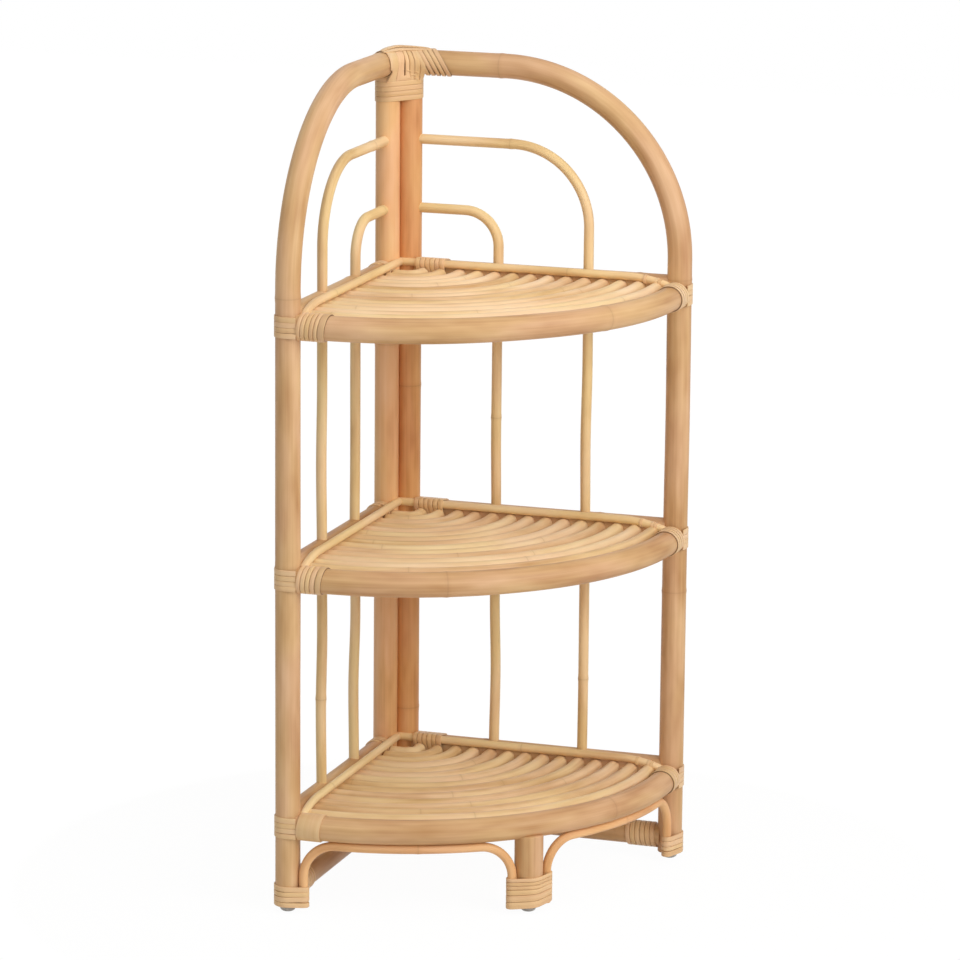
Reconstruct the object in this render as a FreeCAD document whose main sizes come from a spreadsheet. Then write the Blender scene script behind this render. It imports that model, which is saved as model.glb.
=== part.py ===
import FreeCAD, Part
import math
import os
import Sketcher

# A three-tier corner shelf of rattan poles, bound at its joints with flat peel strip.
#
# Frame: +Z is up, the origin is on the ground under the middle of the plan.
# The right-hand panel is the back of the shelf, in the plane y = +PlanSpan / 2.
# The left-hand panel stands in the plane x = -PlanSpan / 2.
# The two panels meet in the back corner, and the plane x + y = 0 mirrors one into the other.
# "Right" pieces belong to the back panel, "left" pieces are their mirror images.

V = FreeCAD.Vector
doc = FreeCAD.newDocument("CornerShelf")

SIZES = {
    # Frame poles
    "PlanSpan": 368,  # back corner to the axis of either leg
    "PoleDia": 30,  # legs, arches, back posts and front rails
    "RailDia": 28,  # side rails and base rails
    "CrownHeight": 977,  # axis of the arch where it runs level
    "ArchBend": 225,  # bend radius of the arch, on its axis
    "CopeDepth": 5,  # how far a coped end reaches round the pole it meets
    "FitGap": 0.3,  # room between round pieces that lie against each other
    # Shelves
    "ShelfHeight": 106,  # axis of the bottom front rail
    "ShelfSpacing": 302.5,
    "FrontStub": 36,  # straight end of a front rail, from the leg axis
    "SideRailRise": 8.5,  # side rail axis above the front rail axis
    "BaseRailHeight": 27,
    "SlatDia": 16,
    "SlatPitch": 22.9,
    "SlatSeat": 6,  # depth of a slat end in its side rail
    "TrimDia": 9.5,
    # Spindles
    "SpindleDia": 12.5,
    "SpindleSeat": 8,
    "OuterArchHeight": 882,  # level run of the outer arched spindle
    "OuterArchBend": 98,
    "InnerArchHeight": 797,
    "InnerArchBend": 43,
    # Foot under the bottom shelf
    "FootDia": 34.6,
    "ApronDia": 11,
    "ApronBend": 40,
    "GlideDia": 19,
    "GlideHeight": 7.5,
    "GlideRound": 5,
    "GlidePinDia": 3,
    "GlidePinLength": 13,
    # Screws
    "ScrewDia": 4.5,
    "ScrewHeadDia": 9,
    "ScrewLength": 52,
    "ScrewPoint": 6,
    "ScrewSink": 1.2,  # head below the pole's surface
    # Peel strip
    "StripWidth": 5.6,
    "StripThick": 1.6,
    "StripPitch": 6.2,
    "RailWrapTurns": 4,
    "LegBandPasses": 4,
    "FootBandPasses": 4,
    "CentreWrapTurns": 5,
    "BaseWrapTurns": 5,
    "RightRearTurns": 5,
    "LeftRearTurns": 2,
    "CrownBandTurns": 4,
    "RightCrownTurns": 5,
    "LeftCrownTurns": 1,
    "CapRise": 3.2,  # how far the cap's crest stands above the wraps beside it
}

sheet = doc.addObject("Spreadsheet::Sheet", "Sizes")
for row, (alias, number) in enumerate(SIZES.items(), 1):
    sheet.set(f"A{row}", alias)
    sheet.set(f"B{row}", str(number))
    sheet.setAlias(f"B{row}", alias)
doc.recompute()


def value(expression):
    """The number that an expression on the sheet gives."""
    return float(sheet.evalExpression(expression))


# Places that several pieces share, as expressions on the sheet
HALF = "Sizes.PlanSpan / 2"
POLE_R = "Sizes.PoleDia / 2"
RAIL_R = "Sizes.RailDia / 2"
POST_OUT = "(Sizes.PoleDia + Sizes.FitGap) / sqrt(2)"  # back post axis from the corner
POST_X = f"({POST_OUT} - {HALF})"
COPE_END = f"({POLE_R} - Sizes.CopeDepth)"  # coped end, from the axis of the pole it meets
LEVELS = {
    "bottom": "Sizes.ShelfHeight",
    "middle": "(Sizes.ShelfHeight + Sizes.ShelfSpacing)",
    "top": "(Sizes.ShelfHeight + 2 * Sizes.ShelfSpacing)",
}
SLAT_RISE = "(Sizes.PoleDia - Sizes.SlatDia) / 2"  # slat tops are flush with the front rail
TRIM_RISE = f"({POLE_R} + Sizes.TrimDia / 2 + Sizes.FitGap)"
TRIM_REACH = "((Sizes.RailDia + Sizes.TrimDia) / 2 + Sizes.FitGap)"
TRIM_OUT = f"sqrt({TRIM_REACH} ^ 2 - ({TRIM_RISE} - Sizes.SideRailRise) ^ 2)"
BAND_ROOM = "(Sizes.StripThick + 2 * Sizes.FitGap)"  # room that a binding takes beside a pole

UP = FreeCAD.Rotation()
ALONG_X = FreeCAD.Rotation(V(0, 1, 0), V(0, 0, 1), V(1, 0, 0))  # local Z to +X, local Y to +Z
TOWARDS_FRONT = FreeCAD.Rotation(V(1, 0, 0), 90)  # local Z to -Y
nodes = {}


def place(piece, x, y, z, rotation=UP):
    """Put a piece at a point given by three expressions."""
    piece.Placement = FreeCAD.Placement(V(), rotation)
    for axis, expression in zip("xyz", (x, y, z)):
        piece.setExpression(f"Placement.Base.{axis}", str(expression))
    return piece


def keep(name, piece):
    """Make a piece one of the finished nodes."""
    piece.Label = name
    nodes[name] = piece
    return piece


def mirrored(name, source):
    """The left-hand twin of a right-hand piece."""
    twin = doc.addObject("Part::Mirroring", name + "_twin")
    twin.Source = source
    twin.Normal = V(1, 1, 0)
    return twin


def group(name, members):
    """Several solids held as one."""
    bundle = doc.addObject("Part::Compound", name + "_group")
    bundle.Links = members
    return bundle


def cut(name, blank, tools):
    """A blank with the room of each tool taken out of it."""
    piece = doc.addObject("Part::Cut", name + "_cut")
    piece.Base = blank
    piece.Tool = tools[0] if len(tools) == 1 else group(name + "_tools", tools)
    return piece


def straight_rod(name, diameter, length):
    """A round rod that stands on its own origin."""
    rod = doc.addObject("Part::Cylinder", name)
    rod.setExpression("Radius", f"{diameter} / 2")
    rod.setExpression("Height", length)
    return rod


def new_sketch(body, name, plane_role):
    """An empty sketch on one of a body's own origin planes."""
    sketch = body.newObject("Sketcher::SketchObject", name)
    plane = next(p for p in body.Origin.OriginFeatures if p.Role == plane_role)
    sketch.AttachmentSupport = [(plane, "")]
    sketch.MapMode = "FlatFace"
    return sketch


def bind(sketch, kind, elements, expression):
    """Add one driving dimension to a sketch and tie it to the sheet."""
    index = sketch.addConstraint(Sketcher.Constraint(kind, *elements, value(expression)))
    sketch.setExpression(f"Constraints[{index}]", expression)


def bent_rod(name, diameter, first, bend, last):
    """A round rod that runs up, turns a quarter circle and runs out along -X."""
    body = doc.addObject("PartDesign::Body", name)
    path = new_sketch(body, name + "_path", "XZ_Plane")
    rise, turn, run = value(first), value(bend), value(last)
    path.addGeometry(Part.LineSegment(V(0, 0, 0), V(0, rise, 0)))
    bend_circle = Part.Circle(V(-turn, rise, 0), V(0, 0, 1), turn)
    path.addGeometry(Part.ArcOfCircle(bend_circle, 0, math.pi / 2))
    path.addGeometry(Part.LineSegment(V(-turn, rise + turn, 0), V(-turn - run, rise + turn, 0)))
    path.addConstraint(Sketcher.Constraint("Coincident", 0, 1, -1, 1))
    path.addConstraint(Sketcher.Constraint("Vertical", 0))
    path.addConstraint(Sketcher.Constraint("Tangent", 0, 2, 1, 1))
    path.addConstraint(Sketcher.Constraint("Tangent", 1, 2, 2, 1))
    path.addConstraint(Sketcher.Constraint("Horizontal", 2))
    bind(path, "Distance", (0,), first)
    bind(path, "Radius", (1,), bend)
    bind(path, "Distance", (2,), last)
    section = new_sketch(body, name + "_section", "XY_Plane")
    section.addGeometry(Part.Circle(V(), V(0, 0, 1), value(diameter) / 2))
    section.addConstraint(Sketcher.Constraint("Coincident", 0, 3, -1, 1))
    bind(section, "Diameter", (0,), diameter)
    pipe = body.newObject("PartDesign::AdditivePipe", name + "_pipe")
    pipe.Profile = section
    pipe.Spine = (path, ["Edge1", "Edge2", "Edge3"])
    return body


def turned_piece(name, outline):
    """A round piece turned about Z, from the radius and height of each corner of its half outline."""
    body = doc.addObject("PartDesign::Body", name)
    sketch = new_sketch(body, name + "_outline", "XZ_Plane")
    corners = [V(value(radius), value(height), 0) for radius, height in outline]
    for start, end in zip(corners, corners[1:] + corners[:1]):
        sketch.addGeometry(Part.LineSegment(start, end))
    for index, (radius, height) in enumerate(outline):
        before = (index - 1) % len(outline)
        sketch.addConstraint(Sketcher.Constraint("Coincident", before, 2, index, 1))
        bind(sketch, "DistanceX", (-1, 1, index, 1), radius)
        bind(sketch, "DistanceY", (-1, 1, index, 1), height)
    turning = body.newObject("PartDesign::Revolution", name + "_turning")
    turning.Profile = sketch
    turning.ReferenceAxis = (sketch, ["V_Axis"])
    turning.Angle = 360
    return body


# Screws: one pattern, set at every joint with its head in the post
screw = turned_piece(
    "screw",
    [
        ("0", "0"),
        ("Sizes.ScrewHeadDia / 2", "0"),
        ("Sizes.ScrewDia / 2", "(Sizes.ScrewHeadDia - Sizes.ScrewDia) / 2"),
        ("Sizes.ScrewDia / 2", "Sizes.ScrewLength - Sizes.ScrewPoint"),
        ("0", "Sizes.ScrewLength"),
    ],
)
SINK_R = f"({POLE_R} - Sizes.ScrewSink)"  # screw head from the axis of its post
recess = place(
    straight_rod("screw_recess", "Sizes.ScrewHeadDia", "Sizes.PoleDia"), "0", "0", "-Sizes.PoleDia"
)
screw_bore = group("screw_bore", [screw, recess])
TO_BACK_POST = FreeCAD.Rotation(V(0, 1, 0), -90)
TO_LEG = FreeCAD.Rotation(V(0, 1, 0), 90)
DOWN = FreeCAD.Rotation(V(1, 0, 0), 180)
ACROSS_POSTS = FreeCAD.Rotation(V(0, 0, 1), V(-1, -1, 0))


def linked(name, source, x, y, z, rotation):
    """One more copy of a piece, at its own place."""
    copy = doc.addObject("App::Link", name)
    copy.LinkedObject = source
    return place(copy, x, y, z, rotation)


def screw_places():
    """Where the right-hand screws stand: three expressions and a direction each."""
    rail_heights = [f"{level} + Sizes.SideRailRise" for level in LEVELS.values()]
    for height in rail_heights + ["Sizes.BaseRailHeight"]:
        yield f"{HALF} + {SINK_R}", HALF, height, TO_BACK_POST
        yield f"{POST_X} - {SINK_R}", HALF, height, TO_LEG
    for height in LEVELS.values():
        yield HALF, f"{HALF} + {SINK_R}", height, TOWARDS_FRONT
    yield POST_X, HALF, f"Sizes.CrownHeight + {SINK_R}", DOWN


def post_screw_places():
    """Where screws join the two back posts, midway between the shelves."""
    out = f"({SINK_R}) / sqrt(2)"
    for level in LEVELS.values():
        yield f"{POST_X} + {out}", f"{HALF} + {out}", f"{level} + Sizes.ShelfSpacing / 2", ACROSS_POSTS


def set_of_links(name, source, places):
    """A group of copies of one piece."""
    return group(name, [linked(f"{name}_{i}", source, *spot) for i, spot in enumerate(places)])


right_screws = set_of_links("right_screws", screw, screw_places())
left_screws = mirrored("left_screws", right_screws)
post_screws = set_of_links("post_screws", screw, post_screw_places())
keep("joint_screws", group("joint_screws", [right_screws, left_screws, post_screws]))
right_bores = set_of_links("right_bores", screw_bore, screw_places())
left_bores = mirrored("left_bores", right_bores)
post_bores = set_of_links("post_bores", screw_bore, post_screw_places())

# Glides: a domed plastic foot with a pin, under each leg, each back post and the centre foot
glide_blank = turned_piece(
    "glide",
    [
        ("0", "0"),
        ("Sizes.GlideDia / 2", "0"),
        ("Sizes.GlideDia / 2", "Sizes.GlideHeight"),
        ("Sizes.GlidePinDia / 2", "Sizes.GlideHeight"),
        ("Sizes.GlidePinDia / 2", "Sizes.GlideHeight + Sizes.GlidePinLength"),
        ("0", "Sizes.GlideHeight + Sizes.GlidePinLength"),
    ],
)
doc.recompute()
rim = next(
    f"Edge{i}"
    for i, edge in enumerate(glide_blank.Shape.Edges, 1)
    if isinstance(edge.Curve, Part.Circle)
    and abs(edge.CenterOfMass.z) < value("Sizes.FitGap")
    and edge.Curve.Radius > value("Sizes.GlidePinDia")
)
glide_turning = glide_blank.Tip
dome = glide_blank.newObject("PartDesign::Fillet", "glide_dome")
dome.Base = (glide_turning, [rim])
dome.setExpression("Radius", "Sizes.GlideRound")
glide_blank.Tip = dome
# The centre foot stands under the middle of the bowed front rail
FOOT_OUT = f"(Sizes.FrontStub + (Sizes.PlanSpan - Sizes.FrontStub) / sqrt(2) - {HALF})"
FOOT_IN = f"(-({FOOT_OUT}))"
glide_places = [
    (HALF, HALF, "0", UP),
    (f"-({HALF})", f"-({HALF})", "0", UP),
    (POST_X, HALF, "0", UP),
    (f"-({HALF})", f"-({POST_X})", "0", UP),
    (FOOT_OUT, FOOT_IN, "0", UP),
]
glides = keep("foot_glides", set_of_links("foot_glides", glide_blank, glide_places))

# Arch posts: leg, quarter bend and level run to the corner, mitred against each other
right_arch = place(
    bent_rod(
        "right_arch",
        "Sizes.PoleDia",
        "Sizes.CrownHeight - Sizes.ArchBend - Sizes.GlideHeight",
        "Sizes.ArchBend",
        "Sizes.PlanSpan - Sizes.ArchBend + Sizes.PoleDia",
    ),
    HALF,
    HALF,
    "Sizes.GlideHeight",
)
left_arch = mirrored("left_arch", right_arch)
# The room on the far side of the mirror plane, as tall as the shelf, cuts every mitre in the corner
mitre_block = doc.addObject("Part::Box", "mitre_block")
for side in ("Length", "Width"):
    mitre_block.setExpression(side, "4 * Sizes.PoleDia")
mitre_block.setExpression("Height", "Sizes.CrownHeight + 2 * Sizes.PoleDia")
place(
    mitre_block,
    f"-({HALF}) - sqrt(2) * Sizes.PoleDia",
    f"{HALF} + sqrt(2) * Sizes.PoleDia",
    "0",
    FreeCAD.Rotation(V(0, 0, 1), 225),
)

# Front rails and slats: a straight end, a quarter circle in plan and a straight end
front_rails = {}
for level, height in LEVELS.items():
    blank = bent_rod(
        f"{level}_front_blank",
        "Sizes.PoleDia",
        f"Sizes.FrontStub - {COPE_END}",
        "Sizes.PlanSpan - Sizes.FrontStub",
        f"Sizes.FrontStub - {COPE_END}",
    )
    place(blank, HALF, f"{HALF} - {COPE_END}", height, TOWARDS_FRONT)
    front_rails[level] = cut(f"{level}_front_rail", blank, [right_arch, left_arch, right_bores, left_bores])
    keep(f"{level}_front_rail", front_rails[level])

SLAT_SIDE = f"({POLE_R} + Sizes.SlatDia / 2 + {BAND_ROOM})"
FIRST_SLAT = f"(Sizes.PlanSpan - sqrt({SLAT_SIDE} ^ 2 - ({SLAT_RISE}) ^ 2))"
REAR_WRAP_START = f"({POST_OUT} + {POLE_R} + Sizes.FitGap)"  # from the corner, along a side rail
REAR_WRAP_TURNS = "max(Sizes.RightRearTurns; Sizes.LeftRearTurns)"
REAR_WRAP_END = f"({REAR_WRAP_START} + {REAR_WRAP_TURNS} * Sizes.StripPitch + Sizes.StripWidth)"
LAST_SLAT = "(Sizes.FrontStub + Sizes.SlatDia / 2 + Sizes.FitGap)"  # its bend is no tighter than its rod
SLAT_INSET = f"({RAIL_R} - Sizes.SlatSeat)"
RIGHT_WRAP_FACE = f"({TRIM_OUT} + (Sizes.TrimDia + Sizes.StripThick) / 2)"
LEFT_WRAP_FACE = f"({RAIL_R} + {BAND_ROOM})"


def slat_ends(span):
    """How far from either panel's plane a slat ends: in the side rails, or short of their bindings."""
    if value(f"{span} - Sizes.SlatDia / 2 - Sizes.FitGap") > value(REAR_WRAP_END):
        return SLAT_INSET, SLAT_INSET
    return RIGHT_WRAP_FACE, LEFT_WRAP_FACE


slat_count = 1 + int(value(f"({FIRST_SLAT} - {LAST_SLAT}) / Sizes.SlatPitch"))
slats = []
for index in range(slat_count):
    span = f"({FIRST_SLAT} - {index} * Sizes.SlatPitch)"  # slat end from the corner
    right_end, left_end = slat_ends(span)
    slat = bent_rod(
        f"slat_{index + 1}",
        "Sizes.SlatDia",
        f"Sizes.FrontStub - {right_end}",
        f"{span} - Sizes.FrontStub",
        f"Sizes.FrontStub - {left_end}",
    )
    slats.append(place(slat, f"{span} - {HALF}", f"{HALF} - {right_end}", SLAT_RISE, TOWARDS_FRONT))
shelf_slats = {}
for level, height in LEVELS.items():
    shelf_slats[level] = keep(f"{level}_shelf_slats", group(f"{level}_shelf_slats", slats))
    place(shelf_slats[level], "0", "0", height)

# Spindles: two in each panel, in separate lengths between the rails and arched at the top
SPINDLE_STEP = f"((Sizes.PlanSpan - {POST_OUT}) / 3)"
SPINDLE_X = {"inner": f"({POST_X} + {SPINDLE_STEP})", "outer": f"({POST_X} + 2 * {SPINDLE_STEP})"}
SEAT_DROP = f"({RAIL_R} - Sizes.SpindleSeat)"  # spindle end from the axis of its rail
spindles = {level: [] for level in LEVELS}
post_spindles = []


def side_rail_height(level):
    """The height of a shelf's side rail axes."""
    return f"({LEVELS[level]} + Sizes.SideRailRise)"


for row, x in SPINDLE_X.items():
    for span_name, below, above in (("lower", "bottom", "middle"), ("middle", "middle", "top")):
        rod = straight_rod(
            f"right_{row}_{span_name}_spindle",
            "Sizes.SpindleDia",
            f"Sizes.ShelfSpacing - 2 * {SEAT_DROP}",
        )
        place(rod, x, HALF, f"{side_rail_height(below)} + {SEAT_DROP}")
        spindles[below].append(rod)
        spindles[above].append(rod)
        keep(f"right_{row}_{span_name}_spindle", rod)
        keep(f"left_{row}_{span_name}_spindle", mirrored(f"left_{row}_{span_name}", rod))
    name = row.capitalize()
    foot = f"({side_rail_height('top')} + {SEAT_DROP})"
    rod = bent_rod(
        f"right_{row}_arched",
        "Sizes.SpindleDia",
        f"Sizes.{name}ArchHeight - Sizes.{name}ArchBend - {foot}",
        f"Sizes.{name}ArchBend",
        f"{x} - {POST_X} - {POLE_R} + Sizes.SpindleSeat - Sizes.{name}ArchBend",
    )
    place(rod, x, HALF, foot)
    spindles["top"].append(rod)
    post_spindles.append(rod)
    keep(f"right_{row}_arched_spindle", rod)
    keep(f"left_{row}_arched_spindle", mirrored(f"left_{row}_arched", rod))

# Posts, drilled for screws, glide pins and spindles
right_post_blank = straight_rod(
    "right_post_blank",
    "Sizes.PoleDia",
    "Sizes.CrownHeight - Sizes.GlideHeight - " + COPE_END,
)
place(right_post_blank, POST_X, HALF, "Sizes.GlideHeight")
left_post_blank = mirrored("left_post_blank", right_post_blank)
left_post_spindles = [nodes[f"left_{row}_arched_spindle"] for row in SPINDLE_X]
post_tools = [right_arch, left_arch, right_bores, left_bores, post_bores, glides]
keep("right_back_post", cut("right_back_post", right_post_blank, post_tools + post_spindles))
keep("left_back_post", cut("left_back_post", left_post_blank, post_tools + left_post_spindles))
keep("right_arch_post", cut("right_arch_post", right_arch, [mitre_block, right_bores, glides]))
keep("left_arch_post", mirrored("left_arch_post", nodes["right_arch_post"]))

# Side rails and base rails: straight poles, coped to the leg and the back post
RAIL_LENGTH = f"(Sizes.PlanSpan - {POST_OUT} - 2 * {COPE_END})"
for level in LEVELS:
    blank = straight_rod(f"{level}_side_blank", "Sizes.RailDia", RAIL_LENGTH)
    place(blank, f"{POST_X} + {COPE_END}", HALF, side_rail_height(level), ALONG_X)
    tools = [right_arch, right_post_blank, front_rails[level], shelf_slats[level], right_bores]
    rail = cut(f"right_{level}_side_rail", blank, tools + spindles[level])
    keep(f"right_{level}_side_rail", rail)
    keep(f"left_{level}_side_rail", mirrored(f"left_{level}_side_rail", rail))
blank = straight_rod("base_blank", "Sizes.RailDia", RAIL_LENGTH)
place(blank, f"{POST_X} + {COPE_END}", HALF, "Sizes.BaseRailHeight", ALONG_X)
base_rail = cut("right_base_rail", blank, [right_arch, right_post_blank, right_bores])
keep("right_base_rail", base_rail)
keep("left_base_rail", mirrored("left_base_rail", base_rail))

# Trim rods lie on the slat ends, against the side rails, and meet in a mitre at the corner.
# The left ones are eased at the back, where they cross the bindings on their side rails.
EASE_LENGTH = "(Sizes.LeftRearTurns * Sizes.StripPitch + Sizes.StripWidth + 2 * Sizes.FitGap)"
for level, height in LEVELS.items():
    blank = straight_rod(
        f"{level}_trim_blank", "Sizes.TrimDia", f"Sizes.PlanSpan - {POLE_R} - {BAND_ROOM}"
    )
    place(blank, f"-({HALF})", f"{HALF} - {TRIM_OUT}", f"{height} + {TRIM_RISE}", ALONG_X)
    trim = cut(f"right_{level}_trim_rod", blank, [mitre_block, right_post_blank])
    keep(f"right_{level}_trim_rod", trim)
    ease = straight_rod(f"{level}_ease", f"Sizes.RailDia + 2 * {BAND_ROOM}", EASE_LENGTH)
    place(ease, f"{REAR_WRAP_START} - Sizes.FitGap - {HALF}", HALF, side_rail_height(level), ALONG_X)
    eased = cut(f"left_{level}_eased_trim", trim, [ease])
    keep(f"left_{level}_trim_rod", mirrored(f"left_{level}_trim_rod", eased))

# Centre foot, coped under the bottom front rail
foot_blank = straight_rod(
    "foot_blank", "Sizes.FootDia", f"Sizes.ShelfHeight - {COPE_END} - Sizes.GlideHeight"
)
place(foot_blank, FOOT_OUT, FOOT_IN, "Sizes.GlideHeight")
keep("centre_foot", cut("centre_foot", foot_blank, [nodes["bottom_front_rail"], glides]))

# Apron rods: up beside a leg, along under the bowed rail and down beside the centre foot
def apron_rod():
    """The right-hand apron rod, a round rod on lines and arcs."""
    radius = value("Sizes.PlanSpan - Sizes.FrontStub")
    bend = value("Sizes.ApronBend")
    ground = value("Sizes.GlideHeight")
    level = value(f"Sizes.ShelfHeight - {POLE_R} - Sizes.FitGap - Sizes.ApronDia / 2")
    centre = V(value(f"Sizes.FrontStub - {HALF}"), value(f"{HALF} - Sizes.FrontStub"), 0)
    out = math.hypot(radius, bend)  # the upright ends stand this far from the centre of the bow
    bend_angle = math.atan2(bend, radius)

    def polar(distance, angle, height):
        return centre + V(distance * math.cos(angle), distance * math.sin(angle), height)

    def angle_beside(distance, clearance):
        """The angle at the centre between a pole and an upright end beside it."""
        return math.acos((out**2 + distance**2 - clearance**2) / (2 * out * distance))

    stub = value("Sizes.FrontStub")
    leg_clearance = value("(Sizes.PoleDia + Sizes.ApronDia) / 2 + Sizes.FitGap")
    foot_clearance = value("(Sizes.FootDia + Sizes.ApronDia) / 2 + Sizes.FitGap")
    leg_angle = math.atan2(stub, radius) - angle_beside(math.hypot(radius, stub), leg_clearance)
    foot_angle = -math.pi / 4 + angle_beside(radius, foot_clearance)
    bow_start = leg_angle - bend_angle
    bow_end = foot_angle + bend_angle
    leg_end = polar(out, leg_angle, 0)
    foot_end = polar(out, foot_angle, 0)

    def bend_middle(upright, angle):
        """The middle of the bend between an upright end and the bow."""
        inward = polar(radius, angle, 0) - upright
        drop = bend * (1 - math.sqrt(0.5))
        return upright + inward * (1 - math.sqrt(0.5)) + V(0, 0, level - drop)

    shoulder = V(0, 0, level - bend)
    bow_middle = polar(radius, (bow_start + bow_end) / 2, level)
    start = polar(radius, bow_start, level)
    end = polar(radius, bow_end, level)
    curves = [
        Part.LineSegment(leg_end + V(0, 0, ground), leg_end + shoulder),
        Part.Arc(leg_end + shoulder, bend_middle(leg_end, bow_start), start),
        Part.Arc(start, bow_middle, end),
        Part.Arc(end, bend_middle(foot_end, bow_end), foot_end + shoulder),
        Part.LineSegment(foot_end + shoulder, foot_end + V(0, 0, ground)),
    ]
    route = Part.Wire([curve.toShape() for curve in curves])
    ring = Part.Circle(leg_end + V(0, 0, ground), V(0, 0, 1), value("Sizes.ApronDia / 2"))
    return route.makePipeShell([Part.Wire([ring.toShape()])], True, False), leg_end, foot_end


apron_shape, apron_leg_end, apron_foot_end = apron_rod()
apron = doc.addObject("Part::Feature", "right_apron_rod")
apron.Shape = apron_shape
keep("right_apron_rod", apron)
keep("left_apron_rod", mirrored("left_apron_rod", apron))


# Bindings: a flat strip laid on a trail of lines and arcs round one or more poles.
# A trail is a list of steps, each a start point, a heading, a length and the angle that it turns.
STRAIGHT = 1e-9  # a turn or a lean below this is none


def unit(angle):
    """The direction at an angle in plan."""
    return V(math.cos(angle), math.sin(angle), 0)


def walk(step, distance):
    """Where a step has got to after a distance: the point and the heading there."""
    start, heading, length, turn = step
    if abs(turn) < STRAIGHT:
        return start + unit(heading) * distance, heading
    radius = length / turn
    swing = distance / radius
    centre = start + unit(heading + math.pi / 2) * radius
    return centre - unit(heading + swing + math.pi / 2) * radius, heading + swing


def trail(start, heading, moves):
    """Steps from a list of lengths and turns, with no step over a quarter turn."""
    steps = []
    for length, turn in moves:
        pieces = max(1, math.ceil(abs(turn) / (math.pi / 2) - STRAIGHT))
        for _ in range(pieces):
            steps.append((start, heading, length / pieces, turn / pieces))
            start, heading = walk(steps[-1], length / pieces)
    return steps


def belt(circles):
    """A closed trail, counter-clockwise, drawn tight round circles given in order."""
    if len(circles) == 1:
        centre, radius = circles[0]
        return trail(centre + V(radius, 0, 0), math.pi / 2, [(2 * math.pi * radius, 2 * math.pi)])
    normals = []
    spans = []
    for (centre, radius), (next_centre, next_radius) in zip(circles, circles[1:] + circles[:1]):
        across = next_centre - centre
        lean = (radius - next_radius) / across.Length
        normals.append(math.atan2(across.y, across.x) - math.acos(lean))
        spans.append(across.Length * math.sqrt(1 - lean**2))
    moves = []
    for index, (centre, radius) in enumerate(circles):
        turn = (normals[index] - normals[index - 1]) % (2 * math.pi)
        moves += [(radius * turn, turn), (spans[index], 0)]
    first_centre, first_radius = circles[0]
    return trail(first_centre + unit(normals[-1]) * first_radius, normals[-1] + math.pi / 2, moves)


def wound_nodes(steps, turns, pitch):
    """Points and tangents of a strip that climbs one pitch in each lap of a closed trail."""
    lap = sum(step[2] for step in steps)
    travelled = 0
    found = []
    for start, heading, length, _ in steps * turns + steps[:1]:
        climb = V(0, 0, pitch / lap)
        found.append((start + climb * travelled, (unit(heading) + climb).normalize()))
        travelled += length
    return found


def folded_nodes(steps, passes, pitch):
    """Points and tangents of a strip that goes back and forth along an open trail."""
    end, end_heading = walk(steps[-1], steps[-1][2])
    forward = [(step[0], step[1]) for step in steps] + [(end, end_heading)]
    backward = [(point, heading + math.pi) for point, heading in reversed(forward)]
    found = []
    for number in range(passes):
        rise = V(0, 0, number * pitch)
        run = backward if number % 2 else forward
        found += [(point + rise, unit(heading)) for point, heading in run]
        if number < passes - 1:
            fold = unit(run[-1][1]) * (pitch / 2) + V(0, 0, pitch / 2)
            found.append((run[-1][0] + rise + fold, V(0, 0, 1)))
    return found


def arc_towards(start, tangent, end):
    """The arc that leaves a point along a tangent and ends at another point."""
    chord = end - start
    along = V(chord).normalize()
    lean = tangent - along * tangent.dot(along)
    if lean.Length < STRAIGHT:
        return Part.LineSegment(start, end)
    half_angle = math.atan2(lean.Length, tangent.dot(along))
    bulge = V(lean).normalize() * (chord.Length / 2 * math.tan(half_angle / 2))
    return Part.Arc(start, (start + end) * 0.5 + bulge, end)


def biarc(start, start_tangent, end, end_tangent):
    """Two arcs that join a pair of points with their tangents, or one line where they agree."""
    spread = 2 * (1 - start_tangent.dot(end_tangent))
    if spread < STRAIGHT:
        return [Part.LineSegment(start, end).toShape()]
    across = end - start
    ahead = across.dot(start_tangent + end_tangent)
    reach = (math.sqrt(ahead**2 + spread * across.dot(across)) - ahead) / spread
    joint = (start + start_tangent * reach + end - end_tangent * reach) * 0.5
    second = arc_towards(end, end_tangent * -1, joint).toShape()
    return [arc_towards(start, start_tangent, joint).toShape(), second.reversed()]


def edge_line(steps, offset):
    """The edges beside a trail, offset to its right."""
    edges = []
    for step in steps:
        stops = [walk(step, step[2] * share) for share in (0, 0.5, 1)]
        start, middle, end = (point + unit(heading - math.pi / 2) * offset for point, heading in stops)
        curve = Part.LineSegment(start, end) if abs(step[3]) < STRAIGHT else Part.Arc(start, middle, end)
        edges.append(curve.toShape())
    return edges


def prism(edges, bottom, height):
    """A solid that stands on an outline."""
    face = Part.Face(Part.Wire(Part.__sortEdges__(edges)))
    face.translate(V(0, 0, bottom))
    return face.extrude(V(0, 0, height))


def strip_layer(steps, closed, height):
    """The thin layer round the poles that a strip lies in."""
    half = value("Sizes.StripThick / 2")
    low = -value("Sizes.StripPitch")
    tall = height + 2 * value("Sizes.StripPitch")
    if closed:
        return prism(edge_line(steps, half), low, tall).cut(prism(edge_line(steps, -half), low, tall))
    spare = value("2 * Sizes.StripPitch")
    start, heading, _, _ = steps[0]
    moves = [(spare, 0)] + [step[2:] for step in steps] + [(spare, 0)]
    longer = trail(start - unit(heading) * spare, heading, moves)
    outer, inner = edge_line(longer, half), edge_line(longer, -half)
    caps = [
        Part.LineSegment(outer[0].firstVertex().Point, inner[0].firstVertex().Point).toShape(),
        Part.LineSegment(outer[-1].lastVertex().Point, inner[-1].lastVertex().Point).toShape(),
    ]
    return prism(outer + inner + caps, low, tall)


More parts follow.
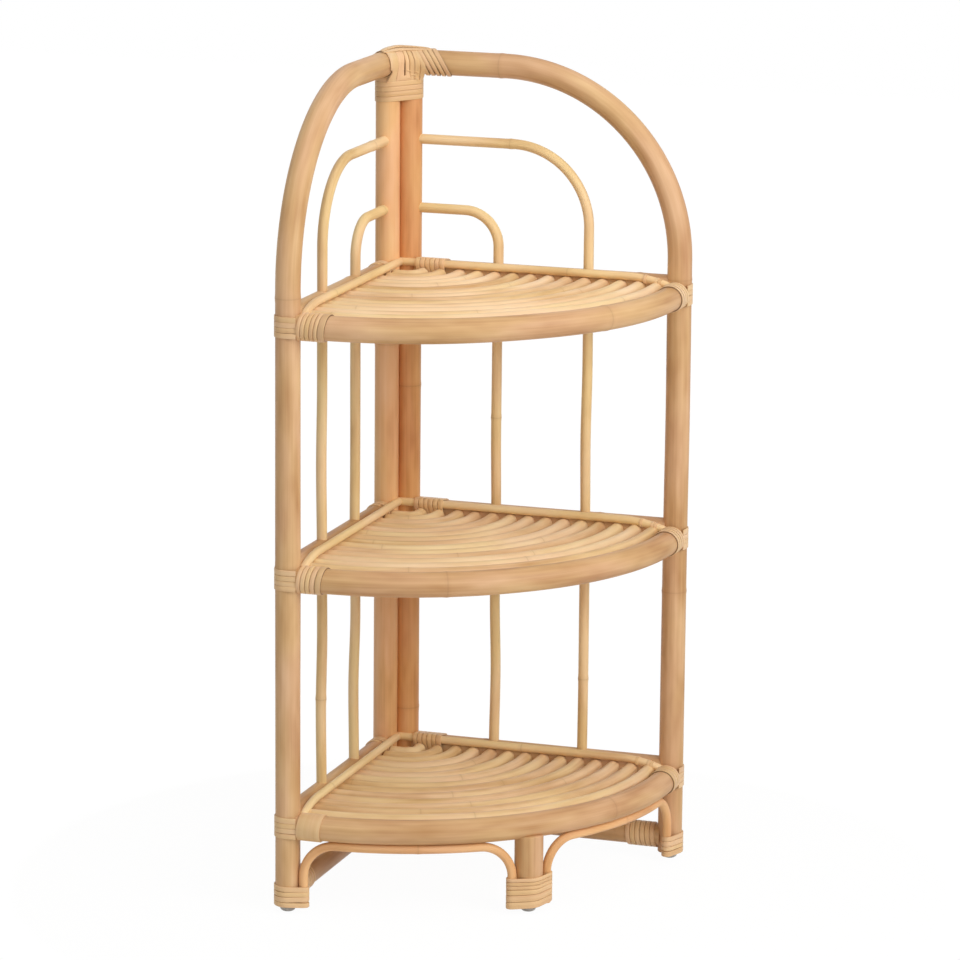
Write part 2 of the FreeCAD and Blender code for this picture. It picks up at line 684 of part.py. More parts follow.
def least_gap(route):
    """The smallest gap between neighbouring runs of a strip, measured on points along it."""
    fold = math.pi * value("Sizes.StripPitch / 2")
    spacing = value("Sizes.StripWidth / 3")
    count = int(route.Length / spacing) + 1
    points = route.discretize(Number=count)
    apart = math.ceil(fold / (route.Length / (count - 1)))
    nearest = min((a - b).Length for i, a in enumerate(points) for b in points[i + apart :])
    return nearest - value("Sizes.StripWidth")


def binding(name, steps, rounds, closed):
    """One unbroken flat strip: a round tube on biarcs, pared down to the layer it lies in."""
    pitch = value("Sizes.StripPitch")
    found = wound_nodes(steps, rounds, pitch) if closed else folded_nodes(steps, rounds, pitch)
    edges = []
    for (start, start_tangent), (end, end_tangent) in zip(found, found[1:]):
        edges += biarc(start, start_tangent, end, end_tangent)
    route = Part.Wire(edges)
    ring = Part.Circle(found[0][0], found[0][1], value("Sizes.StripWidth / 2"))
    tube = route.makePipeShell([Part.Wire([ring.toShape()])], True, False)
    strip = tube.common(strip_layer(steps, closed, rounds * pitch))
    print(f"{name}: least gap to itself {least_gap(route):.2f} mm, {len(strip.Solids)} solid")
    return strip.Solids[0]


def bound(name, shape, x, y, z, rotation=UP):
    """A binding at its place."""
    piece = doc.addObject("Part::Feature", name)
    piece.Shape = shape
    return place(piece, x, y, z, rotation)


# The middle of a strip lies this far from the surface under it
LIFT = value("Sizes.FitGap + Sizes.StripThick / 2")
pole_round = value(POLE_R) + LIFT
rail_round = value(RAIL_R) + LIFT
apron_round = value("Sizes.ApronDia / 2") + LIFT
CLEAR_OF_LEG = f"({POLE_R} + 2 * Sizes.FitGap + Sizes.StripWidth / 2)"
tail = value(f"{POLE_R} - (Sizes.StripPitch + Sizes.StripWidth) / 2")
quarter = math.pi / 2

# Rail ends: turns round each end of the front rails
rail_wrap = binding("rail wrap", belt([(V(), pole_round)]), int(value("Sizes.RailWrapTurns")), True)
# Leg bands: passes round the outside of the leg, from one rail's side to the other's
band_moves = [(tail, 0), (pole_round * quarter, quarter), (tail, 0)]
band_steps = trail(V(pole_round, -tail, 0), quarter, band_moves)
band_passes = int(value("Sizes.LegBandPasses"))
leg_band = binding("leg band", band_steps, band_passes, False)
# Rear wraps, beside the back posts: round the right rail with its trim rod, and round the left rail alone
trim_spot = V(-value(TRIM_OUT), value(f"{TRIM_RISE} - Sizes.SideRailRise"), 0)
rear_circles = [(V(), rail_round), (trim_spot, value("Sizes.TrimDia / 2") + LIFT)]
right_turns = int(value("Sizes.RightRearTurns"))
left_turns = int(value("Sizes.LeftRearTurns"))
rear_wraps = {
    "right": binding("right rear wrap", belt(rear_circles), right_turns, True),
    "left": binding("left rear wrap", belt([(V(), rail_round)]), left_turns, True),
}
leg_bands = []
side_wraps = {"right": [], "left": []}
for level, height in LEVELS.items():
    wrap = bound(
        f"right_{level}_rail_wrap", rail_wrap, HALF, f"{HALF} - {CLEAR_OF_LEG}", height, TOWARDS_FRONT
    )
    keep(f"right_{level}_rail_wrap", wrap)
    keep(f"left_{level}_rail_wrap", mirrored(f"left_{level}_rail_wrap", wrap))
    band_foot = f"{height} - (Sizes.LegBandPasses - 1) * Sizes.StripPitch / 2"
    leg_bands.append(bound(f"right_{level}_leg_band", leg_band, HALF, HALF, band_foot))
    rear_x = f"{REAR_WRAP_START} + Sizes.StripWidth / 2 - {HALF}"
    for side, wrap in rear_wraps.items():
        name = f"{side}_{level}_rear_wrap"
        side_wraps[side].append(bound(name, wrap, rear_x, HALF, side_rail_height(level), ALONG_X))
right_leg_bands = keep("right_leg_bands", group("right_leg_bands", leg_bands))
keep("left_leg_bands", mirrored("left_leg_bands", right_leg_bands))

# Base wraps: turns round the base rail beside the leg
base_turns = int(value("Sizes.BaseWrapTurns"))
base_wrap = binding("base wrap", belt([(V(), rail_round)]), base_turns, True)
base_x = f"{HALF} - {CLEAR_OF_LEG} - Sizes.BaseWrapTurns * Sizes.StripPitch"
for side, wraps in side_wraps.items():
    name = f"{side}_base_wrap"
    wraps.append(bound(name, base_wrap, base_x, HALF, "Sizes.BaseRailHeight", ALONG_X))
keep("right_side_wraps", group("right_side_wraps", side_wraps["right"]))
keep("left_side_wraps", mirrored("left_side_wraps", group("left_side_wraps", side_wraps["left"])))

# Foot bindings: passes round the apron end and the outside of the leg
STRIP_FOOT = "(Sizes.GlideHeight + Sizes.FitGap + Sizes.StripWidth / 2)"
apron_spot = apron_leg_end - V(value(HALF), value(HALF), 0)
around = belt([(V(), pole_round), (apron_spot, apron_round)])
apron_steps = [step for step in around if (step[0] - apron_spot).Length < apron_round + LIFT]
start, heading, _, _ = apron_steps[0]
leg_line = apron_steps[-1]
leg_start = walk(leg_line, leg_line[2])
to_back = (math.pi - leg_start[1]) % (2 * math.pi)
foot_moves = [step[2:] for step in apron_steps] + [(pole_round * to_back, to_back), (tail, 0)]
foot_steps = trail(start, heading, foot_moves)
foot_binding = binding("foot binding", foot_steps, int(value("Sizes.FootBandPasses")), False)
right_foot = keep("right_foot_binding", bound("right_foot_binding", foot_binding, HALF, HALF, STRIP_FOOT))
keep("left_foot_binding", mirrored("left_foot_binding", right_foot))

# Centre foot: turns round the foot and both apron ends
foot_axis = V(value(FOOT_OUT), value(FOOT_IN), 0)
along_bow = V(1, 1, 0).normalize()
inwards = V(-1, 1, 0).normalize()
apron_offset = apron_foot_end - foot_axis
beside = V(apron_offset.dot(along_bow), apron_offset.dot(inwards), 0)
foot_round = value("Sizes.FootDia / 2") + LIFT
centre_circles = [
    (beside, apron_round),
    (V(), foot_round),
    (V(-beside.x, beside.y, 0), apron_round),
    (V(), foot_round),
]
centre_turns = int(value("Sizes.CentreWrapTurns"))
centre_wrap = binding("centre foot binding", belt(centre_circles), centre_turns, True)
FACING_OUT = FreeCAD.Rotation(along_bow, inwards, V(0, 0, 1))
keep(
    "centre_foot_binding",
    bound("centre_foot_binding", centre_wrap, FOOT_OUT, FOOT_IN, STRIP_FOOT, FACING_OUT),
)

# Crown: a band round both back posts, wraps on the arch ends and a mitred cap over the corner
post_out = value(POST_OUT)
crown_circles = [(V(post_out, 0, 0), pole_round), (V(0, -post_out, 0), pole_round)]
crown_turns = int(value("Sizes.CrownBandTurns"))
crown_band = binding("crown band", belt(crown_circles), crown_turns, True)
CROWN_BAND_Z = (
    f"Sizes.CrownHeight - {POLE_R} - Sizes.FitGap - Sizes.StripWidth / 2"
    " - Sizes.CrownBandTurns * Sizes.StripPitch"
)
keep("crown_band", bound("crown_band", crown_band, f"-({HALF})", HALF, CROWN_BAND_Z))
CAP_END = f"({POST_OUT} + {POLE_R})"  # end of the cap, from the corner
wrap_x = f"{CAP_END} + Sizes.FitGap + Sizes.StripWidth / 2 - {HALF}"
arch_wraps = []
for side in ("Right", "Left"):
    turns = int(value(f"Sizes.{side}CrownTurns"))
    arch_wrap = binding(f"{side} arch wrap", belt([(V(), pole_round)]), turns, True)
    arch_wraps.append(bound(f"{side}_arch_wrap", arch_wrap, wrap_x, HALF, "Sizes.CrownHeight", ALONG_X))
right_arch_wrap, left_arch_wrap = arch_wraps
keep("crown_wraps", group("crown_wraps", [right_arch_wrap, mirrored("left_arch_wrap", left_arch_wrap)]))
cap_halves = []
CAP_BORE = "(Sizes.PoleDia + 2 * Sizes.FitGap)"
for name, diameter, height in (
    ("cap_outside", f"({CAP_BORE} + 2 * Sizes.StripThick)", "Sizes.CrownHeight + Sizes.CapRise"),
    ("cap_inside", CAP_BORE, "Sizes.CrownHeight"),
):
    half = straight_rod(name, diameter, f"{CAP_END} + Sizes.PoleDia")
    half.Angle = 180
    cap_halves.append(place(half, f"-({HALF}) - Sizes.PoleDia", HALF, height, ALONG_X))
right_cap = cut("right_cap", cap_halves[0], [cap_halves[1], mitre_block])
cap = doc.addObject("Part::MultiFuse", "crown_cap")
cap.Shapes = [right_cap, mirrored("left_cap", right_cap)]
keep("crown_cap", cap)

# Check every object, then write each node to its own file
doc.recompute()
failed = [piece.Name for piece in doc.Objects if {"Invalid", "Error"} & set(piece.State)]
if failed:
    raise RuntimeError(f"these did not build: {failed}")
for name, piece in nodes.items():
    if piece.Shape.isNull() or not piece.Shape.isValid() or not piece.Shape.Solids:
        raise RuntimeError(f"{name} is not a valid solid")
os.makedirs("parts", exist_ok=True)
for name, piece in nodes.items():
    piece.Shape.exportStep(f"parts/{name}.step")
print(f"{len(nodes)} nodes written")
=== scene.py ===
"""A rattan corner shelf: bent poles, bowed slats, thin rods and peel-strip bindings, in a white studio."""

import logging
import math
import random
from collections.abc import Iterator, Sequence
from contextlib import contextmanager
from dataclasses import dataclass, field, replace
from enum import Enum

import bmesh
import bpy
import numpy as np
from mathutils import Matrix, Vector
from mathutils.geometry import interpolate_bezier

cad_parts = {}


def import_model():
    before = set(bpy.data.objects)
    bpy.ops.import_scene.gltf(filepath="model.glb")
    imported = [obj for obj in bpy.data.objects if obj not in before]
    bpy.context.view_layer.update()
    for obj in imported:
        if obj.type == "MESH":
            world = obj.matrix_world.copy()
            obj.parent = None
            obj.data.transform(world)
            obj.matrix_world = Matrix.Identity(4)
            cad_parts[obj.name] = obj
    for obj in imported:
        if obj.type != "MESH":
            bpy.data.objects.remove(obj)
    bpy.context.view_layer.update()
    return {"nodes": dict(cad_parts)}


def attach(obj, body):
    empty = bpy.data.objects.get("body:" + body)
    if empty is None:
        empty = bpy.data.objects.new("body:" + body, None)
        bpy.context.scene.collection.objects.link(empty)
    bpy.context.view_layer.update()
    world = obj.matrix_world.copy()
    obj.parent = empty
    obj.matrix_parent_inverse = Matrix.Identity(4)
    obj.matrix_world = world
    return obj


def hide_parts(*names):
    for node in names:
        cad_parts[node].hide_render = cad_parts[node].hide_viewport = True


LOG = logging.getLogger("corner_shelf")
BODY = "root"
TINY = 1e-6
MOST_CUTS = 100  # a single subdivision makes no more cuts than this
SAME_RING = 1e-5  # points of one ring of a rod lie this close together along it
SMOOTH_ANGLE = math.radians(38)  # sharper edges stay sharp
ARC_STEP = 0.1  # angle between points on an arc
WHITE = (1.0, 1.0, 1.0, 1.0)
GRAIN_LENGTH = 40.0  # each piece's grain starts at a chance place on a length like this


class Side(Enum):
    """The two panels: the right one lies along the back, the left one is its mirror image."""

    RIGHT = "right"
    LEFT = "left"

    def place(self, point: Vector) -> Vector:
        """A right-hand point, or its mirror image for the left panel."""
        return Vector(point) if self is Side.RIGHT else Vector((-point[1], -point[0], point[2]))


class Tier(Enum):
    """The three shelves, by the height of the front rail's axis in metres."""

    BOTTOM = 0.106
    MIDDLE = 0.4085
    TOP = 0.711

    @property
    def label(self) -> str:
        """The shelf's name in lower case."""
        return self.name.lower()


class Slot(Enum):
    """The record's material slots."""

    POLE = "rattan_pole"
    ROD = "rattan_rod"
    SLAT = "rattan_slat"
    PEEL = "rattan_peel"


@dataclass(frozen=True)
class ShelfSizes:
    """Sizes that several sub-assemblies share, in metres."""

    half: float = 0.184  # middle of the plan to a leg's axis
    pole: float = 0.015  # radius of legs, arches, back posts and front rails
    rail: float = 0.014  # radius of side rails and base rails
    crown: float = 0.977  # axis of the arch where it runs level
    arch_bend: float = 0.225
    ground: float = 0.0075  # pole ends stand this high, on their glides
    cope: float = 0.010  # a coped end, from the axis of the pole that it meets
    stub: float = 0.036  # straight end of a front rail
    side_rise: float = 0.0085  # side rail axis above the front rail axis
    base_height: float = 0.027
    fit: float = 0.0003

    @property
    def span(self) -> float:
        """From the back corner to a leg's axis."""
        return 2 * self.half

    @property
    def post_out(self) -> float:
        """From the back corner to a back post's axis, along its panel."""
        return (2 * self.pole + self.fit) / math.sqrt(2)

    @property
    def post_x(self) -> float:
        """The right back post's axis along X."""
        return self.post_out - self.half

    @property
    def bow(self) -> float:
        """Plan radius of a front rail."""
        return self.span - self.stub

    @property
    def bow_centre(self) -> Vector:
        """Centre of the front rails' bow, on the ground."""
        return Vector((self.stub - self.half, self.half - self.stub, 0))


SIZES = ShelfSizes()


def linear(red: int, green: int, blue: int) -> tuple[float, float, float, float]:
    """A screen colour as the linear colour that a shader takes.

    Args:
        red: Red from 0 to 255.
        green: Green from 0 to 255.
        blue: Blue from 0 to 255.

    Returns:
        The linear colour with full alpha.
    """
    shares = (c / 255 for c in (red, green, blue))
    return (*(c / 12.92 if c <= 0.04045 else ((c + 0.055) / 1.055) ** 2.4 for c in shares), 1.0)


# Finishes


class Graph:
    """Nodes and links of one material or node group."""

    def __init__(self, tree: bpy.types.NodeTree) -> None:
        """Start on an empty tree."""
        self.tree = tree
        tree.nodes.clear()

    def add(self, kind: str, settings: dict | None = None, **inputs: object) -> bpy.types.Node:
        """Add a node.

        Args:
            kind: The node's type, without its ShaderNode prefix.
            settings: Properties of the node.
            **inputs: Input sockets by name, with underscores for spaces, or i and a number for
                the socket at that place. A socket is linked and any other value is set.

        Returns:
            The new node.
        """
        node = self.tree.nodes.new(kind if kind.startswith("Node") else "ShaderNode" + kind)
        for name, setting in (settings or {}).items():
            setattr(node, name, setting)
        for name, value in inputs.items():
            key = int(name[1:]) if name[0] == "i" and name[1:].isdigit() else name.replace("_", " ")
            if isinstance(value, bpy.types.NodeSocket):
                self.tree.links.new(value, node.inputs[key])
            else:
                node.inputs[key].default_value = value
        return node

    def math(self, operation: str, *values: object, clamp: bool = False) -> bpy.types.NodeSocket:
        """The result of a math node on numbers or sockets."""
        inputs = {f"i{index}": value for index, value in enumerate(values)}
        return self.add("Math", {"operation": operation, "use_clamp": clamp}, **inputs).outputs[0]

    def blend(self, share: object, first: object, second: object) -> bpy.types.NodeSocket:
        """A colour between two colours."""
        node = self.add("Mix", {"data_type": "RGBA"}, i0=share, i6=first, i7=second)
        return node.outputs[2]

    def smooth(self, value: object, low: float, high: float) -> bpy.types.NodeSocket:
        """A soft step from 0 at low to 1 at high."""
        settings = {"interpolation_type": "SMOOTHSTEP"}
        return self.add("MapRange", settings, Value=value, From_Min=low, From_Max=high).outputs[0]

    def noise(
        self, position: object, stretch: tuple[float, float, float], detail: float
    ) -> bpy.types.NodeSocket:
        """Noise on a stretched position."""
        scaled = self.add("VectorMath", {"operation": "MULTIPLY"}, i0=position, i1=stretch).outputs[0]
        return self.add("TexNoise", Vector=scaled, Scale=1.0, Detail=detail, Roughness=0.55).outputs[0]

    def swing(self, noise: object, weight: object) -> bpy.types.NodeSocket:
        """A noise as a weighted swing to both sides of zero."""
        return self.math("MULTIPLY", self.math("SUBTRACT", noise, 0.5), weight)

    def seen(self) -> bpy.types.NodeSocket:
        """Whether a ray shows what it meets, to the camera, in a gloss or through glass.

        Returns:
            1 for such a ray and 0 for one that only lights.
        """
        path = self.add("LightPath").outputs
        seen = self.math("MAXIMUM", path["Is Camera Ray"], path["Is Glossy Ray"])
        return self.math("MAXIMUM", seen, path["Is Transmission Ray"])

    def end(self, shader: bpy.types.NodeSocket, kind: str = "OutputMaterial") -> None:
        """Link the finished shader to an output node."""
        self.tree.links.new(shader, self.add(kind).inputs[0])


def new_material(name: str) -> tuple[bpy.types.Material, Graph]:
    """Start a material.

    Args:
        name: Its name.

    Returns:
        The material and its empty graph.
    """
    material = bpy.data.materials.new(name)
    material.use_nodes = True
    return material, Graph(material.node_tree)


def new_group(
    name: str, inputs: dict[str, str], outputs: dict[str, str]
) -> tuple[Graph, dict, bpy.types.Node]:
    """Start a shader node group.

    Args:
        name: The group's name.
        inputs: Socket kind of each input.
        outputs: Socket kind of each output.

    Returns:
        The group's graph, its input sockets by name and its output node.
    """
    tree = bpy.data.node_groups.new(name, "ShaderNodeTree")
    for side, sockets in (("INPUT", inputs), ("OUTPUT", outputs)):
        for socket, kind in sockets.items():
            tree.interface.new_socket(socket, in_out=side, socket_type="NodeSocket" + kind)
    graph = Graph(tree)
    source = graph.add("NodeGroupInput")
    return graph, {name: source.outputs[name] for name in inputs}, graph.add("NodeGroupOutput")


# Repeats per metre of the grain's noises, along a piece and across it, and the tints of its clouds of hue
STREAK_SCALE = (4.0, 240.0, 240.0)
FIBRE_SCALE = (20.0, 1100.0, 1100.0)
PATCH_SCALE = (11.0, 46.0, 46.0)
HUE_SCALE = (7.0, 31.0, 31.0)
FIBRE_WEIGHT = 0.12
ROSY_TINT = (1.0, 0.980, 1.01, 1.0)
STRAW_TINT = (0.984, 0.998, 0.905, 1.0)
TINT_RANGE = (0.36, 0.64)  # of the hue noise, from rosy to straw
SCAR_RANGE = (0.70, 0.98)  # of the ring mark, where the dark line of a node or an edge sets in
HALO_RANGE = (0.0, 0.8)  # and the paler shade round it
HALO_DEPTH = 0.3
STREAK_GLOSS = 0.22  # how far the streaks change the roughness
RING_GLOSS = 0.12  # and the rings
STREAK_RELIEF = 0.8
FIBRE_RELIEF = 0.2


def cane_grain() -> bpy.types.NodeTree:
    """The grain that every rattan finish shares: long streaks, clouds of tone and hue, darker rings or edges.

    Returns:
        The node group.
    """
    existing = bpy.data.node_groups.get("cane_grain")
    if existing:
        return existing
    numbers = ("Tone", "Ring", "Streaks", "Patches", "Ring Depth", "Roughness")
    colours = ("Light", "Middle", "Dark", "Ring Colour")
    sockets = {"Position": "Vector", **dict.fromkeys(numbers, "Float"), **dict.fromkeys(colours, "Color")}
    results = {"Color": "Color", "Roughness": "Float", "Height": "Float"}
    graph, given, out = new_group("cane_grain", sockets, results)
    place = given["Position"]
    streak, patch = graph.noise(place, STREAK_SCALE, 2.0), graph.noise(place, PATCH_SCALE, 2.0)
    fibre, hue = graph.noise(place, FIBRE_SCALE, 1.0), graph.noise(place, HUE_SCALE, 1.0)
    shade = graph.math("ADD", graph.swing(streak, given["Streaks"]), graph.swing(fibre, FIBRE_WEIGHT))
    shade = graph.math("ADD", shade, graph.swing(patch, given["Patches"]))
    shade = graph.math("ADD", graph.math("ADD", shade, given["Tone"]), 0.5)
    low_half = graph.math("MULTIPLY", shade, 2.0, clamp=True)
    high_half = graph.math("SUBTRACT", graph.math("MULTIPLY", shade, 2.0), 1.0, clamp=True)
    colour = graph.blend(low_half, given["Dark"], given["Middle"])
    colour = graph.blend(high_half, colour, given["Light"])
    tint = graph.blend(graph.smooth(hue, *TINT_RANGE), ROSY_TINT, STRAW_TINT)
    tinted = {"data_type": "RGBA", "blend_type": "MULTIPLY"}
    colour = graph.add("Mix", tinted, i0=1.0, i6=colour, i7=tint).outputs[2]
    scar = graph.smooth(given["Ring"], *SCAR_RANGE)
    halo = graph.math("MULTIPLY", graph.smooth(given["Ring"], *HALO_RANGE), HALO_DEPTH)
    ring = graph.math("MULTIPLY", graph.math("MAXIMUM", scar, halo), given["Ring Depth"], clamp=True)
    colour = graph.blend(ring, colour, given["Ring Colour"])
    rough = graph.math("ADD", graph.swing(streak, STREAK_GLOSS), given["Roughness"])
    rough = graph.math("ADD", rough, graph.math("MULTIPLY", ring, RING_GLOSS))
    ridges = graph.math("MULTIPLY", streak, STREAK_RELIEF)
    height = graph.math("ADD", ridges, graph.math("MULTIPLY", fibre, FIBRE_RELIEF))
    height = graph.math("SUBTRACT", height, graph.math("MULTIPLY", scar, given["Ring Depth"]))
    for name, socket in (("Color", colour), ("Roughness", rough), ("Height", height)):
        graph.tree.links.new(socket, out.inputs[name])
    return graph.tree


@dataclass(frozen=True)
class CaneFinish:
    """A lacquered rattan surface, drawn on the straight shape that a piece had before it was bent."""

    name: str
    light: tuple[int, int, int]
    middle: tuple[int, int, int]
    dark: tuple[int, int, int]
    ring: tuple[int, int, int]
    streaks: float = 0.55
    patches: float = 1.2
    ring_depth: float = 0.22
    roughness: float = 0.48
    relief: float = 0.12
    relief_depth: float = 0.0006
    sheen: float = 0.30

    def material(self) -> bpy.types.Material:
        """The finish as a material, made once.

        Returns:
            The material.
        """
        existing = bpy.data.materials.get(self.name)
        if existing:
            return existing
        material, graph = new_material(self.name)
        names = ("grain", "ring", "tone")
        marks = {name: graph.add("Attribute", {"attribute_name": name}).outputs for name in names}
        tones = {"Light": self.light, "Middle": self.middle, "Dark": self.dark, "Ring_Colour": self.ring}
        group = graph.add(
            "Group",
            {"node_tree": cane_grain()},
            Position=marks["grain"]["Vector"],
            Tone=marks["tone"]["Fac"],
            Ring=marks["ring"]["Fac"],
            Streaks=self.streaks,
            Patches=self.patches,
            Ring_Depth=self.ring_depth,
            Roughness=self.roughness,
            **{name: linear(*tone) for name, tone in tones.items()},
        ).outputs
        relief = graph.add("Bump", Strength=self.relief, Distance=self.relief_depth, Height=group["Height"])
        shader = graph.add(
            "BsdfPrincipled",
            Base_Color=group["Color"],
            Roughness=group["Roughness"],
            Normal=relief.outputs[0],
            Specular_IOR_Level=self.sheen,
        )
        graph.end(shader.outputs[0])
        return material


POLE_FINISH = CaneFinish("cane_pole", (232, 194, 152), (209, 166, 122), (174, 122, 76), (146, 100, 62))
# The right back post's finish: a more orange tone of its own, also painted paler, a painted light that makes
# up for the shade in the back corner.
AMBER_LIT_POLE_FINISH = CaneFinish("cane_pole_amber", (238, 187, 133), (220, 161, 106), (180, 117, 66), (140, 90, 50))
# The left back post's finish, also worn by the apron rods: the pole finish painted paler, a painted light
# that makes up for the shade in the back corner.
PALE_LIT_POLE_FINISH = CaneFinish("cane_pole_painted_light", (249, 206, 161), (238, 187, 136), (205, 146, 94), (152, 104, 64))
ROD_FINISH = CaneFinish("cane_rod", (251, 226, 180), (239, 206, 155), (207, 164, 112), (150, 104, 62))
SLAT_FINISH = CaneFinish("cane_slat", (248, 222, 182), (236, 202, 157), (204, 160, 110), (164, 116, 70))
PEEL_FINISH = replace(
    CaneFinish("cane_peel", (245, 214, 173), (233, 195, 150), (205, 158, 109), (150, 104, 64)),
    patches=0.6,
    roughness=0.42,
)
# The peel with its strand edges painted dark brown: painted shade standing in for the shadow in the gaps
# between neighbouring strands.
GAP_SHADE_PEEL_FINISH = replace(PEEL_FINISH, name="cane_peel_gap_shade", ring=(92, 57, 31), ring_depth=0.8)


@dataclass(frozen=True)
class PlainFinish:
    """A plastic or metal surface with a faint mottle."""

    name: str
    light: tuple[int, int, int]
    dark: tuple[int, int, int]
    scale: float
    roughness: float
    metallic: float = 0.0
    mottling: float = 0.25  # how far the mottle changes the roughness
    relief: float = 0.12
    relief_depth: float = 0.0002

    def material(self) -> bpy.types.Material:
        """The finish as a material.

        Returns:
            The material.
        """
        material, graph = new_material(self.name)
        mottle = graph.noise(graph.add("TexCoord").outputs["Object"], (self.scale,) * 3, 3.0)
        relief = graph.add("Bump", Strength=self.relief, Distance=self.relief_depth, Height=mottle)
        shader = graph.add(
            "BsdfPrincipled",
            Base_Color=graph.blend(mottle, linear(*self.dark), linear(*self.light)),
            Roughness=graph.math("ADD", graph.math("MULTIPLY", mottle, self.mottling), self.roughness),
            Metallic=self.metallic,
            Normal=relief.outputs[0],
        )
        graph.end(shader.outputs[0])
        return material


GLIDE_FINISH = PlainFinish("glide_grey", (196, 194, 190), (160, 158, 155), 900.0, 0.3)
SCREW_FINISH = PlainFinish("screw_bright", (190, 188, 182), (140, 138, 134), 1500.0, 0.25, 1.0)


# Bench: the operators that every piece is made with


def take_up(piece: bpy.types.Object) -> None:
    """Make one piece the only selected and the active one.

    Args:
        piece: The piece.
    """
    bpy.ops.object.select_all(action="DESELECT")
    piece.select_set(True)
    bpy.context.view_layer.objects.active = piece


@contextmanager
def edges_of(piece: bpy.types.Object) -> Iterator[bmesh.types.BMesh]:
    """Open a piece in edit mode with nothing selected, and close it again.

    Args:
        piece: The piece.

    Yields:
        Its mesh, to select edges in.
    """
    take_up(piece)
    bpy.ops.object.mode_set(mode="EDIT")
    bpy.ops.mesh.select_mode(type="EDGE")
    bpy.ops.mesh.select_all(action="DESELECT")
    yield bmesh.from_edit_mesh(piece.data)
    bpy.ops.object.mode_set(mode="OBJECT")


def runs_lengthwise(edge: bmesh.types.BMEdge) -> bool:
    """Whether an edge of a piece of stock lies along its length, which is X."""
    along = edge.verts[1].co - edge.verts[0].co
    return abs(along.y) < TINY and abs(along.z) < TINY


def cut_lengthwise(piece: bpy.types.Object, count: int) -> None:
    """Divide the long edges of a piece of stock.

    Args:
        piece: The stock.
        count: Least number of parts that its length is cut into.
    """
    rounds = [count] if count <= MOST_CUTS else [math.ceil(math.sqrt(count))] * 2
    for parts in rounds:
        with edges_of(piece) as mesh:
            for edge in mesh.edges:
                edge.select_set(runs_lengthwise(edge))
            bpy.ops.mesh.subdivide(number_cuts=parts - 1)


def coordinates(piece: bpy.types.Object) -> np.ndarray:
    """The places of all of a mesh's points.

    Args:
        piece: The mesh.

    Returns:
        A row of x, y and z for each point.
    """
    flat = np.zeros(len(piece.data.vertices) * 3)
    piece.data.vertices.foreach_get("co", flat)
    return flat.reshape(-1, 3)


def move_points(piece: bpy.types.Object, places: np.ndarray) -> None:
    """Give all of a mesh's points new places."""
    piece.data.vertices.foreach_set("co", places.ravel())
    piece.data.update()


def mark(piece: bpy.types.Object, name: str, values: np.ndarray) -> None:
    """Keep a number or a vector for each of a mesh's points, for the finish to read.

    Args:
        piece: The mesh.
        name: Name that the finish reads it by.
        values: A number or a row of three for each point.
    """
    kind, field_name = ("FLOAT_VECTOR", "vector") if values.ndim == 2 else ("FLOAT", "value")
    layer = piece.data.attributes.new(name, kind, "POINT")
    layer.data.foreach_set(field_name, values.astype(np.float32).ravel())


def apply_modifier(piece: bpy.types.Object, kind: str, **settings: object) -> None:
    """Add a modifier with its settings and apply it at once.

    Args:
        piece: The piece that it works on.
        kind: The modifier's type.
        **settings: Its properties.
    """
    take_up(piece)
    modifier = piece.modifiers.new(kind.lower(), kind)
    for name, value in settings.items():
        setattr(modifier, name, value)
    bpy.ops.object.modifier_apply(modifier=modifier.name)


def lay_along(piece: bpy.types.Object, curve: bpy.types.Curve) -> None:
    """Bend straight stock along a curve, then throw the curve away.

    Args:
        piece: The stock, along X.
        curve: The curve.
    """
    guide = bpy.data.objects.new("guide", curve)
    bpy.context.scene.collection.objects.link(guide)
    apply_modifier(piece, "CURVE", object=guide, deform_axis="POS_X")
    bpy.data.objects.remove(guide)
    bpy.data.curves.remove(curve)


def join_up(name: str, pieces: Sequence[bpy.types.Object]) -> bpy.types.Object:
    """Join pieces into one.

    Args:
        name: Name of the joined piece.
        pieces: The pieces, of which the first keeps the others.

    Returns:
        The joined piece.
    """
    take_up(pieces[0])
    for piece in pieces[1:]:
        piece.select_set(True)
    if len(pieces) > 1:
        bpy.ops.object.join()
    pieces[0].name = pieces[0].data.name = name
    return pieces[0]


def turn_to_left(piece: bpy.types.Object) -> None:
    """Change a right-hand piece into its mirror image, with its faces outwards again.

    Args:
        piece: The piece.
    """
    piece.data.transform(Matrix(((0, -1, 0, 0), (-1, 0, 0, 0), (0, 0, 1, 0), (0, 0, 0, 1))))
    with edges_of(piece):
        bpy.ops.mesh.select_all(action="SELECT")
        bpy.ops.mesh.flip_normals()


def hand_over(piece: bpy.types.Object, finish: CaneFinish, nodes: Sequence[str]) -> None:
    """Dress a finished piece and put it in the frame.

    Args:
        piece: The finished mesh, in its place.
        finish: Its surface.
        nodes: CAD nodes that it is shown in place of.
    """
    piece.data.materials.clear()
    piece.data.materials.append(finish.material())
    take_up(piece)
    bpy.ops.object.shade_smooth_by_angle(angle=SMOOTH_ANGLE)
    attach(piece, BODY)
    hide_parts(*nodes)
    LOG.info("%s: %d faces for %s", piece.name, len(piece.data.polygons), ", ".join(nodes))


# Rods: round stock with node rings, bent along its axis

STRAIGHT = 1e-3  # a smaller turn counts as none
AXIS_STEPS = 64  # parts that each length between stations is drawn in


@dataclass(frozen=True)
class Station:
    """A point on a rod's axis and the way that the axis runs there."""

    point: Vector
    heading: Vector


def station(x: float, y: float, z: float, heading: Sequence[float]) -> Station:
    """A station from plain numbers."""
    return Station(Vector((x, y, z)), Vector(heading).normalized())


def handle_length(start: Station, end: Station) -> float:
    """Length of the handles that make the curve between two stations a circular arc.

    Args:
        start: Where the curve begins.
        end: Where it ends.

    Returns:
        The length.
    """
    chord = (end.point - start.point).length
    turn = start.heading.angle(end.heading)
    if turn < STRAIGHT:
        return chord / 3
    return chord / (2 * math.sin(turn / 2)) * 4 / 3 * math.tan(turn / 4)


